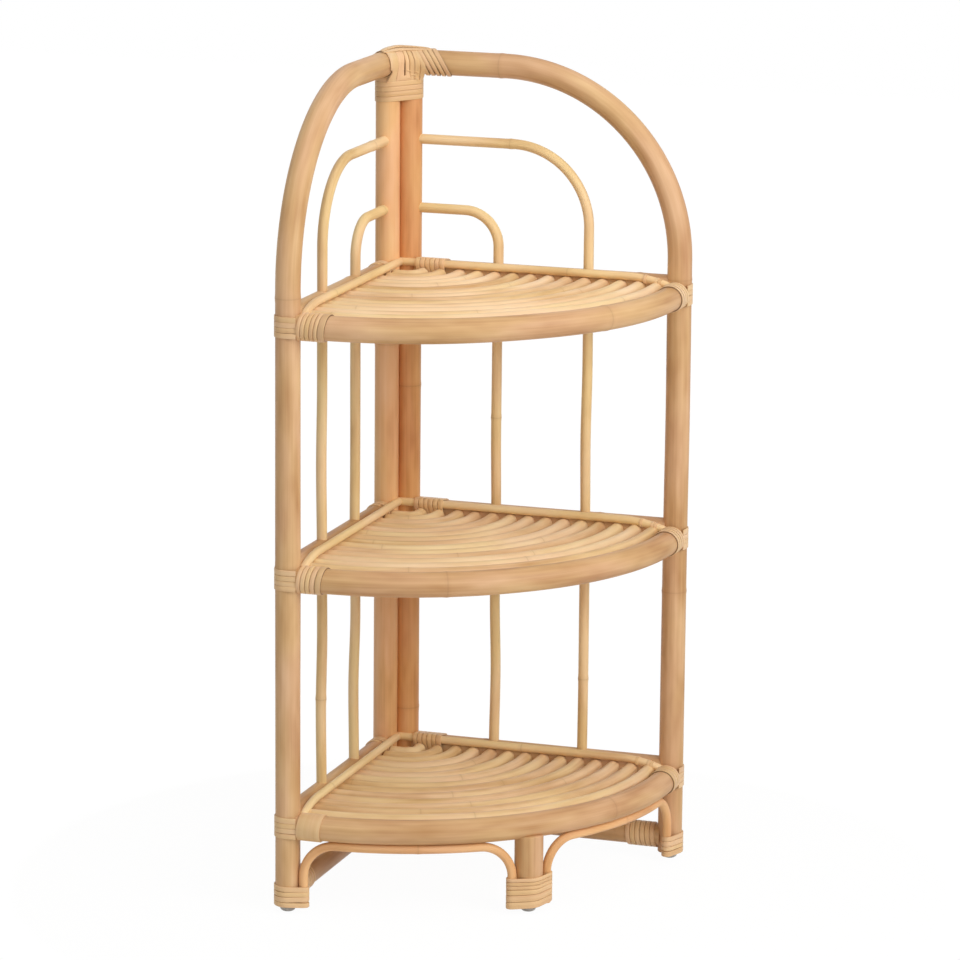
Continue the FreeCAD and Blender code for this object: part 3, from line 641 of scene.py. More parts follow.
def axis_curve(stations: Sequence[Station], thickness: Sequence[float]) -> tuple[bpy.types.Curve, float]:
    """A rod's axis as a curve.

    Args:
        stations: The axis from end to end.
        thickness: The rod's thickness at each station, as a share of its nominal one.

    Returns:
        The curve and its length.
    """
    curve = bpy.data.curves.new("axis", "CURVE")
    curve.dimensions = "3D"
    curve.resolution_u = AXIS_STEPS
    curve.twist_mode = "MINIMUM"
    spline = curve.splines.new("BEZIER")
    spline.bezier_points.add(len(stations) - 1)
    reaches = [handle_length(a, b) for a, b in zip(stations, stations[1:])]
    for index, (knot, spot) in enumerate(zip(spline.bezier_points, stations)):
        knot.handle_left_type = knot.handle_right_type = "FREE"
        knot.co = spot.point
        knot.radius = thickness[index]
        knot.handle_left = spot.point - spot.heading * reaches[max(index - 1, 0)]
        knot.handle_right = spot.point + spot.heading * reaches[min(index, len(reaches) - 1)]
    length = 0.0
    for a, b in zip(spline.bezier_points, spline.bezier_points[1:]):
        line = interpolate_bezier(a.co, a.handle_right, b.handle_left, b.co, AXIS_STEPS + 1)
        length += sum((q - p).length for p, q in zip(line, line[1:]))
    return curve, length


@dataclass
class Rod:
    """One length of rattan: its axis, its thickness and its node rings."""

    name: str
    stations: list[Station]
    radius: float
    seed: int
    sides: int = 28
    ring_gap: float = 0.005
    first_node: float = 0.05  # least distance of a node from the first end
    node_spacing: tuple[float, float] = (0.28, 0.46)
    node_width: float = 0.006
    swell: float = 0.0005
    swell_fall: float = 1.5  # how steeply a node's swell dies away
    end_round: float = 0.0012
    unevenness: float = 0.008
    tone_spread: float = 0.10

    def node_places(self, length: float, chance: random.Random) -> list[float]:
        """Where the rod's nodes lie along it.

        Args:
            length: The rod's length.
            chance: Source of the spacing.

        Returns:
            Distances from the rod's first end.
        """
        places = []
        place = chance.uniform(self.first_node, self.node_spacing[1])
        while place < length - 2 * self.node_width:
            places.append(place)
            place += chance.uniform(*self.node_spacing)
        return places

    def stock(self, length: float) -> bpy.types.Object:
        """Straight round stock along X with softened ends, cut into rings.

        Args:
            length: Its length.

        Returns:
            The stock.
        """
        bpy.ops.object.select_all(action="DESELECT")
        bpy.ops.mesh.primitive_cylinder_add(
            vertices=self.sides,
            radius=self.radius,
            depth=length,
            end_fill_type="NGON",
            location=(length / 2, 0, 0),
            rotation=(0, math.pi / 2, 0),
        )
        piece = bpy.context.active_object
        piece.name = piece.data.name = self.name
        bpy.ops.object.transform_apply(location=True, rotation=True, scale=True)
        with edges_of(piece) as mesh:
            for edge in mesh.edges:
                edge.select_set(not runs_lengthwise(edge))
            bpy.ops.mesh.bevel(offset=self.end_round, segments=2, affect="EDGES")
        cut_lengthwise(piece, math.ceil(length / self.ring_gap))
        return piece

    def make(self) -> bpy.types.Object:
        """Turn the stock's nodes, mark its grain and bend it along its axis.

        Returns:
            The rod as a mesh in its place.
        """
        chance = random.Random(self.seed)
        uneven = [1 + chance.uniform(-1, 1) * self.unevenness for _ in self.stations]
        curve, length = axis_curve(self.stations, uneven)
        nodes = self.node_places(length, chance)
        piece = self.stock(length)
        places = coordinates(piece)
        along = places[:, 0]
        for node in nodes:
            nearest = along[np.argmin(np.abs(along - node))]
            along[np.abs(along - nearest) < SAME_RING] = node
        move_points(piece, places)
        ring = np.zeros(len(along))
        for node in nodes:
            ring = np.maximum(ring, 1 - np.abs(along - node) / self.node_width)
        group = piece.vertex_groups.new(name="nodes")
        for index in np.flatnonzero(ring > 0):
            group.add([int(index)], float(ring[index]) ** self.swell_fall, "REPLACE")
        apply_modifier(piece, "DISPLACE", strength=self.swell, mid_level=0.0, vertex_group="nodes")
        piece.vertex_groups.clear()
        grain = places.copy()
        grain[:, 0] += chance.uniform(0, GRAIN_LENGTH)
        mark(piece, "grain", grain)
        mark(piece, "ring", ring)
        mark(piece, "tone", np.full(len(along), chance.uniform(-1, 1) * self.tone_spread))
        lay_along(piece, curve)
        return piece


def mitre(piece: bpy.types.Object, side: Side) -> None:
    """Cut off what lies beyond the corner's mirror plane and close the cut.

    Args:
        piece: The piece.
        side: The panel that it belongs to.
    """
    outwards = Vector((-1, -1, 0)) if side is Side.RIGHT else Vector((1, 1, 0))
    with edges_of(piece):
        bpy.ops.mesh.select_all(action="SELECT")
        corner = (-SIZES.half, SIZES.half, 0)
        bpy.ops.mesh.bisect(plane_co=corner, plane_no=outwards, use_fill=True, clear_outer=True)


def sided(side: Side, stations: Sequence[Station]) -> list[Station]:
    """Right-hand stations, or their mirror images."""
    return [Station(side.place(s.point), side.place(s.heading)) for s in stations]


UP = (0, 0, 1)
DOWN = (0, 0, -1)
TO_CORNER = (-1, 0, 0)
TO_LEG = (1, 0, 0)
TO_FRONT = (0, -1, 0)


@dataclass
class Posts:
    """The two arch posts and the two back posts."""

    wander: float = 0.0007
    knees: tuple[float, ...] = (0.26, 0.56, 0.84)  # heights at which a back post leans a little
    sides: int = 36
    seed: int = 11

    def arch_stations(self, chance: random.Random) -> list[Station]:
        """The right arch post's axis: up the leg, round the bend and back to the corner.

        Args:
            chance: Source of its unevenness.

        Returns:
            The axis.
        """
        half, bend = SIZES.half, SIZES.arch_bend
        spring = SIZES.crown - bend
        found = [station(half, half, SIZES.ground, UP)]
        tiers = [tier.value for tier in Tier]
        for low, high in zip(tiers, tiers[1:]):
            found.append(station(half, half, low, UP))
            sway = [chance.uniform(-1, 1) * self.wander for _ in range(2)]
            found.append(station(half + sway[0], half + sway[1], (low + high) / 2, UP))
        found.append(station(half, half, spring, UP))
        found.append(station(half - bend, half, SIZES.crown, TO_CORNER))
        found.append(station(-half - 2 * SIZES.pole, half, SIZES.crown, TO_CORNER))
        return found

    def post_stations(self, chance: random.Random) -> list[Station]:
        """The right back post's axis, from its glide to the underside of the arch.

        Args:
            chance: Source of its unevenness.

        Returns:
            The axis.
        """
        x, y = SIZES.post_x, SIZES.half
        found = [station(x, y, SIZES.ground, UP)]
        for height in self.knees:
            lean = chance.uniform(-1, 1) * self.wander / 2
            found.append(station(x + lean, y - abs(lean), height, UP))
        return found + [station(x, y, SIZES.crown - SIZES.cope, UP)]

    def build(self) -> None:
        """Make all four posts."""
        for side in Side:
            seed = self.seed + 10 * list(Side).index(side)
            line = sided(side, self.arch_stations(random.Random(seed)))
            arch = Rod(f"{side.value}_arch_pole", line, SIZES.pole, seed + 1, sides=self.sides).make()
            mitre(arch, side)
            hand_over(arch, POLE_FINISH, [f"{side.value}_arch_post"])
            line = sided(side, self.post_stations(random.Random(seed + 2)))
            name = f"{side.value}_corner_pole"
            post = Rod(name, line, SIZES.pole, seed + 3, sides=self.sides, unevenness=0.004).make()
            # the back posts wear finishes painted paler than the other poles, a painted light for the shaded
            # back corner
            finish = AMBER_LIT_POLE_FINISH if side is Side.RIGHT else PALE_LIT_POLE_FINISH
            hand_over(post, finish, [f"{side.value}_back_post"])


@dataclass
class Shelves:
    """Front rails, slats, side rails, base rails and the trim rods on the slats' ends."""

    slat_radius: float = 0.008
    slat_pitch: float = 0.0229
    first_slat: float = 0.3438  # from the back corner, along a side rail
    slat_count: int = 14
    slat_rise: float = 0.007
    slat_seat: float = 0.006
    short_slats: int = 2  # the innermost ones stop at the lashings on the side rails
    short_ends: tuple[float, float] = (0.0207, 0.0162)  # their ends, in front of the right and left panels
    trim_radius: float = 0.0049
    trim_rise: float = 0.02005
    trim_out: float = 0.01515  # trim rod's axis in front of its panel
    trim_end: float = 0.3600  # its front end, from the back corner
    trim_spare: float = 0.01  # what the mitre in the corner cuts off
    trim_dip: float = 0.010  # its front end is bent down by this, under the lashing
    trim_run: float = 0.055  # length of that bend
    wander: float = 0.0006  # unevenness of a bow in plan
    sag: float = 0.00042  # and in height
    seed: int = 101

    def bowed(
        self, span: float, height: float, insets: tuple[float, float], chance: random.Random
    ) -> list[Station]:
        """The axis of a bowed piece from the right panel to the left one.

        Args:
            span: Distance of its ends from the back corner.
            height: Height of its axis.
            insets: Distances of its ends in front of the right panel and the left one.
            chance: Source of its unevenness.

        Returns:
            The axis.
        """
        half, stub = SIZES.half, SIZES.stub
        centre = SIZES.bow_centre
        radius = span - stub
        x = span - half
        found = [station(x, half - insets[0], height, TO_FRONT), station(x, half - stub, height, TO_FRONT)]
        for step in (1, 2, 3):
            angle = -step * math.pi / 8
            reach = radius + chance.uniform(-1, 1) * self.wander
            lift = height + chance.uniform(-1, 1) * self.sag
            spot = (centre.x + reach * math.cos(angle), centre.y + reach * math.sin(angle))
            found.append(station(*spot, lift, (math.sin(angle), -math.cos(angle), 0)))
        found.append(station(stub - half, -x, height, TO_CORNER))
        return found + [station(insets[1] - half, -x, height, TO_CORNER)]

    def build_tier(self, tier: Tier) -> None:
        """Make one shelf with its front rail.

        Args:
            tier: The shelf.
        """
        number = list(Tier).index(tier)
        chance = random.Random(self.seed + number)
        line = self.bowed(SIZES.span, tier.value, (SIZES.cope, SIZES.cope), chance)
        seed = self.seed + 20 + number
        rail = Rod(f"{tier.label}_bowed_rail", line, SIZES.pole, seed, sides=36, tone_spread=0.05).make()
        hand_over(rail, POLE_FINISH, [f"{tier.label}_front_rail"])
        slats = []
        for index in range(self.slat_count):
            span = self.first_slat - index * self.slat_pitch
            seat = SIZES.rail - self.slat_seat
            ends = (seat, seat) if index < self.slat_count - self.short_slats else self.short_ends
            slat = Rod(
                f"{tier.label}_slat_{index}",
                self.bowed(span, tier.value + self.slat_rise, ends, chance),
                self.slat_radius,
                self.seed + 100 * (number + 1) + index,
                sides=18,
                ring_gap=min(0.005, (span - SIZES.stub) / 10),
                node_spacing=(0.24, 0.42),
                swell=0.0003,
                unevenness=0.02,
                tone_spread=0.2,
            )
            slats.append(slat.make())
        shelf = join_up(f"{tier.label}_bowed_slats", slats)
        hand_over(shelf, SLAT_FINISH, [f"{tier.label}_shelf_slats"])

    def build_rail(self, side: Side, name: str, height: float, seed: int) -> None:
        """Make one straight rail between a back post and a leg.

        Args:
            side: Its panel.
            name: Its name within the panel.
            height: Height of its axis.
            seed: Seed of its nodes and grain.
        """
        start = SIZES.post_x + SIZES.cope
        end = SIZES.half - SIZES.cope
        line = [station(x, SIZES.half, height, TO_LEG) for x in (start, (start + end) / 2, end)]
        label = f"{side.value}_{name}_cross_pole"
        rail = Rod(label, sided(side, line), SIZES.rail, seed, sides=32, unevenness=0.006)
        hand_over(rail.make(), POLE_FINISH, [f"{side.value}_{name}_rail"])

    def build_trim(self, side: Side, tier: Tier, seed: int) -> None:
        """Make the thin rod that lies on the slats' ends along one panel.

        Args:
            side: The panel.
            tier: The shelf.
            seed: Seed of its nodes and grain.
        """
        y, z = SIZES.half - self.trim_out, tier.value + self.trim_rise
        start, end = -SIZES.half - self.trim_spare, self.trim_end - SIZES.half
        line = [station(x, y, z, TO_LEG) for x in (start, 0.0, end - self.trim_run)]
        line.append(station(end, y, z - self.trim_dip, (self.trim_run, 0, -2 * self.trim_dip)))
        rod = Rod(
            f"{side.value}_{tier.label}_edge_rod",
            sided(side, line),
            self.trim_radius,
            seed,
            sides=18,
            swell=0.0002,
            unevenness=0.015,
            tone_spread=0.15,
        ).make()
        mitre(rod, side)
        hand_over(rod, ROD_FINISH, [f"{side.value}_{tier.label}_trim_rod"])

    def trim_drop(self, from_end: float) -> float:
        """How far a trim rod is bent down at a distance from its front end."""
        return self.trim_dip * max(0.0, 1 - from_end / self.trim_run) ** 2

    def build(self) -> None:
        """Make everything that the shelves are made of."""
        for tier in Tier:
            self.build_tier(tier)
        for number, side in enumerate(Side):
            for step, tier in enumerate(Tier):
                seed = self.seed + 500 + 50 * number + step
                self.build_rail(side, f"{tier.label}_side", tier.value + SIZES.side_rise, seed)
                self.build_trim(side, tier, seed + 10)
            self.build_rail(side, "base", SIZES.base_height, self.seed + 530 + 50 * number)


@dataclass
class Spindles:
    """The thin upright rods of both panels, arched over the top shelf."""

    radius: float = 0.00625
    seat: float = 0.008
    arches: dict[str, tuple[float, float]] = field(
        default_factory=lambda: {"inner": (0.797, 0.043), "outer": (0.882, 0.098)}
    )  # height of the level run and bend radius
    wander: float = 0.0012
    seed: int = 901

    def rod(self, name: str, line: list[Station], seed: int) -> Rod:
        """A spindle on its axis.

        Args:
            name: Its name.
            line: Its axis.
            seed: Seed of its nodes and grain.

        Returns:
            The rod, ready to make.
        """
        return Rod(
            name,
            line,
            self.radius,
            seed,
            sides=20,
            node_spacing=(0.24, 0.40),
            swell=0.00045,
            node_width=0.005,
            unevenness=0.02,
            tone_spread=0.10,
        )

    def straight(self, x: float, low: float, high: float, chance: random.Random) -> list[Station]:
        """The axis of a spindle between two rails, a little off straight.

        Args:
            x: Its place along the right panel.
            low: Its lower end.
            high: Its upper end.
            chance: Source of its unevenness.

        Returns:
            The axis.
        """
        y = SIZES.half
        found = [station(x, y, low, UP)]
        for share in (1 / 3, 2 / 3):
            sway = [chance.uniform(-1, 1) * self.wander for _ in range(2)]
            found.append(station(x + sway[0], y + sway[1], low + share * (high - low), UP))
        return found + [station(x, y, high, UP)]

    def arched(self, x: float, low: float, row: str) -> list[Station]:
        """The axis of a spindle that turns over into the back post.

        Args:
            x: Its place along the right panel.
            low: Its lower end.
            row: Which of the arches it is.

        Returns:
            The axis.
        """
        height, bend = self.arches[row]
        y = SIZES.half
        end = SIZES.post_x + SIZES.pole - self.seat
        return [
            station(x, y, low, UP),
            station(x, y, height - bend, UP),
            station(x - bend, y, height, TO_CORNER),
            station(end, y, height, TO_CORNER),
        ]

    def build(self) -> None:
        """Make all the spindles."""
        drop = SIZES.rail - self.seat
        step = (SIZES.span - SIZES.post_out) / 3
        heights = [tier.value + SIZES.side_rise for tier in Tier]
        seed = self.seed
        for side in Side:
            for row, x in (("inner", SIZES.post_x + step), ("outer", SIZES.post_x + 2 * step)):
                for span_name, low, high in (("lower", *heights[:2]), ("middle", *heights[1:])):
                    seed += 1
                    line = self.straight(x, low + drop, high - drop, random.Random(seed))
                    piece = self.rod(f"{side.value}_{row}_{span_name}_stick", sided(side, line), seed).make()
                    hand_over(piece, ROD_FINISH, [f"{side.value}_{row}_{span_name}_spindle"])
                seed += 1
                line = self.arched(x, heights[-1] + drop, row)
                piece = self.rod(f"{side.value}_{row}_hoop", sided(side, line), seed).make()
                hand_over(piece, ROD_FINISH, [f"{side.value}_{row}_arched_spindle"])


@dataclass
class Feet:
    """The centre foot and the two bent apron rods under the bottom front rail."""

    foot_radius: float = 0.0173
    foot_middle: float = 0.05  # height of a station halfway up
    apron_radius: float = 0.0055
    apron_bend: float = 0.040
    seed: int = 1301

    @property
    def foot_place(self) -> Vector:
        """The centre foot's axis on the ground."""
        return SIZES.bow_centre + Vector((1, -1, 0)).normalized() * SIZES.bow

    @property
    def apron_level(self) -> float:
        """Height of the apron rods' axes under the front rail."""
        return Tier.BOTTOM.value - SIZES.pole - SIZES.fit - self.apron_radius

    @property
    def apron_reach(self) -> float:
        """Distance of the apron rods' upright ends from the centre of the bow."""
        return math.hypot(SIZES.bow, self.apron_bend)

    def polar(self, distance: float, angle: float, height: float) -> Vector:
        """A point at a distance and an angle from the centre of the bow."""
        return SIZES.bow_centre + Vector((distance * math.cos(angle), distance * math.sin(angle), height))

    def apron_angles(self) -> tuple[float, float]:
        """Angles of the right apron rod's upright ends, beside the leg and beside the foot.

        Returns:
            The two angles at the centre of the bow.
        """

        def beside(distance: float, clearance: float) -> float:
            """Angle between a pole and an upright end that stands against it."""
            out = self.apron_reach
            return math.acos((out**2 + distance**2 - clearance**2) / (2 * out * distance))

        radius, stub = SIZES.bow, SIZES.stub
        by_leg = beside(math.hypot(radius, stub), SIZES.pole + self.apron_radius + SIZES.fit)
        by_foot = beside(radius, self.foot_radius + self.apron_radius + SIZES.fit)
        return math.atan2(stub, radius) - by_leg, -math.pi / 4 + by_foot

    def upright_ends(self) -> tuple[Vector, Vector]:
        """Where the right apron rod stands beside the leg and beside the foot."""
        by_leg, by_foot = self.apron_angles()
        return self.polar(self.apron_reach, by_leg, 0), self.polar(self.apron_reach, by_foot, 0)

    def apron_stations(self) -> list[Station]:
        """The right apron rod's axis: up beside the leg, along the bow and down beside the foot.

        Returns:
            The axis.
        """
        by_leg, by_foot = self.apron_angles()
        sweep = math.atan2(self.apron_bend, SIZES.bow)
        leg_end, foot_end = self.upright_ends()
        shoulder = Vector((0, 0, self.apron_level - self.apron_bend))
        ground = Vector((0, 0, SIZES.ground))
        found = [Station(leg_end + ground, Vector(UP)), Station(leg_end + shoulder, Vector(UP))]
        start, end = by_leg - sweep, by_foot + sweep
        for angle in (start, (start + end) / 2, end):
            heading = Vector((math.sin(angle), -math.cos(angle), 0))
            found.append(Station(self.polar(SIZES.bow, angle, self.apron_level), heading))
        found.append(Station(foot_end + shoulder, Vector(DOWN)))
        return found + [Station(foot_end + ground, Vector(DOWN))]

    def build(self) -> None:
        """Make the foot and both apron rods."""
        x, y, _ = self.foot_place
        top = Tier.BOTTOM.value - SIZES.cope
        line = [station(x, y, z, UP) for z in (SIZES.ground, self.foot_middle, top)]
        foot = Rod(
            "front_foot",
            line,
            self.foot_radius,
            self.seed,
            sides=36,
            ring_gap=0.003,
            node_spacing=(0.2, 0.3),
            unevenness=0.004,
        )
        hand_over(foot.make(), POLE_FINISH, ["centre_foot"])
        for number, side in enumerate(Side):
            rod = Rod(
                f"{side.value}_apron_hoop",
                sided(side, self.apron_stations()),
                self.apron_radius,
                self.seed + 5 + number,
                sides=20,
                ring_gap=0.004,
                swell=0.0003,
                tone_spread=0.15,
            )
            # the apron rods wear the paler copy of the pole finish, with its painted light
            hand_over(rod.make(), PALE_LIT_POLE_FINISH, [f"{side.value}_apron_rod"])


# Peel strip: flat strip laid in turns and passes

PEEL_STEP = 0.0022  # longest distance between a strip's cross lines
PEEL_ROUND = 0.62  # how far its face is rounded over, as a share of its thickness
PEEL_EDGE = 0.55  # where its edge begins to darken, as a share of the way out
LINE_STEP = 0.002  # longest distance between points on a plan line
PASS_TUCK = 0.0012  # how far the ends of a single pass are pushed in
PASS_RUN = 0.008  # length over which they are


def belt(circles: Sequence[tuple[float, float, float]]) -> np.ndarray:
    """A closed line drawn tight round circles, counter-clockwise.

    Args:
        circles: Centre x, centre y and radius of each circle in order.

    Returns:
        Points in the plane, with the first one repeated at the end.
    """
    normals = []
    for (x, y, r), (nx, ny, nr) in zip(circles, [*circles[1:], circles[0]]):
        across = math.hypot(nx - x, ny - y)
        lean = (r - nr) / across if across > TINY else 0.0
        normals.append(math.atan2(ny - y, nx - x) - math.acos(lean) if across > TINY else 0.0)
    points = []
    for index, (x, y, r) in enumerate(circles):
        start = normals[index - 1]
        turn = (normals[index] - start) % (2 * math.pi) or 2 * math.pi
        count = max(2, math.ceil(turn / ARC_STEP))
        points += [
            (x + r * math.cos(a), y + r * math.sin(a)) for a in np.linspace(start, start + turn, count + 1)
        ]
    return dense(np.array([*points, points[0]]))


def dense(line: np.ndarray) -> np.ndarray:
    """A line with points at most a step apart and none twice.

    Args:
        line: Its corners.

    Returns:
        All its points.
    """
    out = [line[0]]
    for start, end in zip(line, line[1:]):
        gap = float(np.linalg.norm(end - start))
        if gap < TINY:
            continue
        count = math.ceil(gap / LINE_STEP)
        out += [start + (end - start) * k / count for k in range(1, count + 1)]
    return np.array(out)


def travelled(line: np.ndarray) -> np.ndarray:
    """How far along a line each of its points lies."""
    return np.concatenate(([0.0], np.cumsum(np.linalg.norm(np.diff(line, axis=0), axis=1))))


def left_of(line: np.ndarray) -> np.ndarray:
    """The direction to the left of a plane line at each of its points.

    Args:
        line: The line.

    Returns:
        A unit vector for each point.
    """
    ahead = np.gradient(line[:, :2], axis=0)
    ahead /= np.linalg.norm(ahead, axis=1)[:, None]
    return np.stack((-ahead[:, 1], ahead[:, 0]), axis=1)


def peel_stock(
    length: float, width: float, thickness: float, cross_cuts: int = 0, step: float = PEEL_STEP
) -> bpy.types.Object:
    """A flat length of peel strip along X, its back on Y = 0 and its rounded face towards -Y.

    Args:
        length: Its length.
        width: Its width, along Z.
        thickness: Its thickness.
        cross_cuts: Number of long lines that divide its faces.
        step: Longest distance between its cross lines.

    Returns:
        The strip.
    """
    bpy.ops.object.select_all(action="DESELECT")
    bpy.ops.mesh.primitive_cube_add(size=1.0, location=(length / 2, -thickness / 2, 0))
    piece = bpy.context.active_object
    piece.scale = (length, thickness, width)
    bpy.ops.object.transform_apply(location=True, rotation=True, scale=True)
    with edges_of(piece) as mesh:
        for edge in mesh.edges:
            outer = all(v.co.y < -thickness / 2 for v in edge.verts)
            edge.select_set(runs_lengthwise(edge) and outer)
        bpy.ops.mesh.bevel(offset=thickness * PEEL_ROUND, segments=3, affect="EDGES")
    if cross_cuts:
        with edges_of(piece) as mesh:
            for edge in mesh.edges:
                edge.select_set(abs(edge.verts[0].co.z - edge.verts[1].co.z) > width / 2)
            bpy.ops.mesh.subdivide(number_cuts=cross_cuts)
    cut_lengthwise(piece, math.ceil(length / step))
    return piece


def mark_peel(piece: bpy.types.Object, seed: int, tone_spread: float) -> None:
    """Keep a flat strip's grain, its nearness to the edges and its tone for the finish.

    Args:
        piece: The strip.
        seed: Seed of its grain and tone.
        tone_spread: How far its tone may be off the middle.
    """
    chance = random.Random(seed)
    places = coordinates(piece)
    across = np.abs(places[:, 2]) / np.abs(places[:, 2]).max()
    grain = places[:, [0, 2, 1]].copy()
    grain[:, 0] += chance.uniform(0, GRAIN_LENGTH)
    mark(piece, "grain", grain)
    mark(piece, "ring", np.clip((across - PEEL_EDGE) / (1 - PEEL_EDGE), 0, 1))
    mark(piece, "tone", np.full(len(places), chance.uniform(-1, 1) * tone_spread))


@dataclass
class Strip:
    """A length of peel strip and the line that its back lies on."""

    line: np.ndarray
    widths: np.ndarray
    seed: int
    thickness: float = 0.0016
    tone_spread: float = 0.12

    def make(self) -> bpy.types.Object:
        """Shape the strip flat, round its face over and lay it along its line.

        Returns:
            The strip as a mesh, in the line's own frame.
        """
        far = travelled(self.line)
        length = float(far[-1])
        piece = peel_stock(length, float(self.widths.max()), self.thickness)
        places = coordinates(piece)
        places[:, 2] *= np.interp(places[:, 0], far, self.widths) / self.widths.max()
        move_points(piece, places)
        mark_peel(piece, self.seed, self.tone_spread)
        curve = bpy.data.curves.new("trail", "CURVE")
        curve.dimensions = "3D"
        curve.twist_mode = "Z_UP"
        spline = curve.splines.new("POLY")
        spline.points.add(len(self.line) - 1)
        spline.points.foreach_set("co", np.column_stack((self.line, np.ones(len(self.line)))).ravel())
        lay_along(piece, curve)
        return piece


@dataclass(frozen=True)
class Turns:
    """Turns of one strip round one or more poles that stand along Z."""

    circles: tuple[tuple[float, float, float], ...]
    widths: tuple[float, ...]  # of the strands, from the lowest up
    start: float  # lower edge of the lowest strand
    gap: float = 0.0005
    lean: float = 0.0  # rise across the poles, towards the lean angle
    lean_angle: float = 0.0
    seam: float = 0.0  # where the strip begins, as a share of a lap
    tuck: float = 0.0013  # how far its two ends are pushed in
    tuck_run: float = 0.012  # length over which they are
    lift: float = 0.0002
    thickness: float = 0.0016
    step: float = 0.0018

    def strip(self, seed: int) -> Strip:
        """The strip on its line.

        Args:
            seed: Seed of the strip's grain and tone.

        Returns:
            The strip, ready to make.
        """
        loop = belt([(x, y, r + self.lift) for x, y, r in self.circles])
        far = travelled(loop)
        lap = far[-1]
        count = len(self.widths)
        trail = np.linspace(0, count * lap, int(count * lap / self.step))
        spot = (trail + self.seam * lap) % lap
        plan = np.column_stack([np.interp(spot, far, loop[:, axis]) for axis in (0, 1)])
        centres = [self.start + self.widths[0] / 2]
        for below, above in zip(self.widths, self.widths[1:]):
            centres.append(centres[-1] + (below + above) / 2 + self.gap)
        laps = trail / lap
        middles = np.arange(count) + 0.5
        first_step = centres[1] - centres[0] if count > 1 else 0.0
        last_step = centres[-1] - centres[-2] if count > 1 else 0.0
        height = np.interp(
            laps, [0, *middles, count], [centres[0] - first_step / 2, *centres, centres[-1] + last_step / 2]
        )
        slant = np.array((math.cos(self.lean_angle), math.sin(self.lean_angle)))
        height += self.lean * (plan @ slant)
        ends = np.minimum(trail, trail[-1] - trail)
        inwards = self.tuck * np.clip(1 - ends / self.tuck_run, 0, 1)
        plan += left_of(plan) * inwards[:, None]
        widths = np.interp(laps, middles, self.widths)
        return Strip(np.column_stack((plan, height)), widths, seed, thickness=self.thickness)


def strand(
    plan: np.ndarray, heights: tuple[float, float], width: float, seed: int, thickness: float = 0.0015
) -> Strip:
    """One pass of a strip along an open plan line, with both ends tucked in.

    Args:
        plan: Points in the plane, with the poles on the left.
        heights: Height at its two ends.
        width: Its width.
        seed: Seed of its grain and tone.
        thickness: Its thickness.

    Returns:
        The strip, ready to make.
    """
    line = dense(plan)
    far = travelled(line)
    ends = np.minimum(far, far[-1] - far)
    inward = left_of(line) * (PASS_TUCK * np.clip(1 - ends / PASS_RUN, 0, 1))[:, None]
    height = np.interp(far, (0, far[-1]), heights)
    trail = np.column_stack((line + inward, height))
    return Strip(trail, np.full(len(line), width), seed, thickness=thickness)


def frame_at(origin: Sequence[float], x_axis: Sequence[float], y_axis: Sequence[float]) -> Matrix:
    """The placement that puts a piece's own X and Y along two directions.

    Args:
        origin: Where its own origin goes.
        x_axis: Where its own X points.
        y_axis: Where its own Y points.

    Returns:
        The placement.
    """
    x, y = Vector(x_axis).normalized(), Vector(y_axis).normalized()
    z = x.cross(y)
    return Matrix.Translation(Vector(origin)) @ Matrix((x, y, z)).transposed().to_4x4()


def laid(strips: Sequence[Strip], name: str, place: Matrix, side: Side = Side.RIGHT) -> bpy.types.Object:
    """Make strips and set them in place as one piece.

    Args:
        strips: The strips, in one frame of their own.
        name: Name of the piece.
        place: Where that frame goes on the right-hand panel.
        side: The panel that the piece belongs to.

    Returns:
        The piece.
    """
    piece = join_up(name, [strip.make() for strip in strips])
    piece.data.transform(place)
    if side is Side.LEFT:
        turn_to_left(piece)
    return piece


def arc(radius: float, start: float, end: float) -> list[tuple[float, float]]:
    """Points on an arc round the origin between two angles.

    Args:
        radius: The arc's radius.
        start: Angle of its first point.
        end: Angle of its last point.

    Returns:
        The points.
    """
    count = max(2, math.ceil(abs(end - start) / ARC_STEP))
    angles = np.linspace(start, end, count + 1)
    return [(radius * math.cos(a), radius * math.sin(a)) for a in angles]


@dataclass(frozen=True)
class RailLashing:
    """How the turns at one end of a front rail lie."""

    widths: tuple[float, ...]  # of the strands, from the leg outwards
    lean: float
    gap: float = 0.0005
    thickness: float = 0.0016
    # by default the peel with painted shade on its strand edges
    finish: CaneFinish = GAP_SHADE_PEEL_FINISH


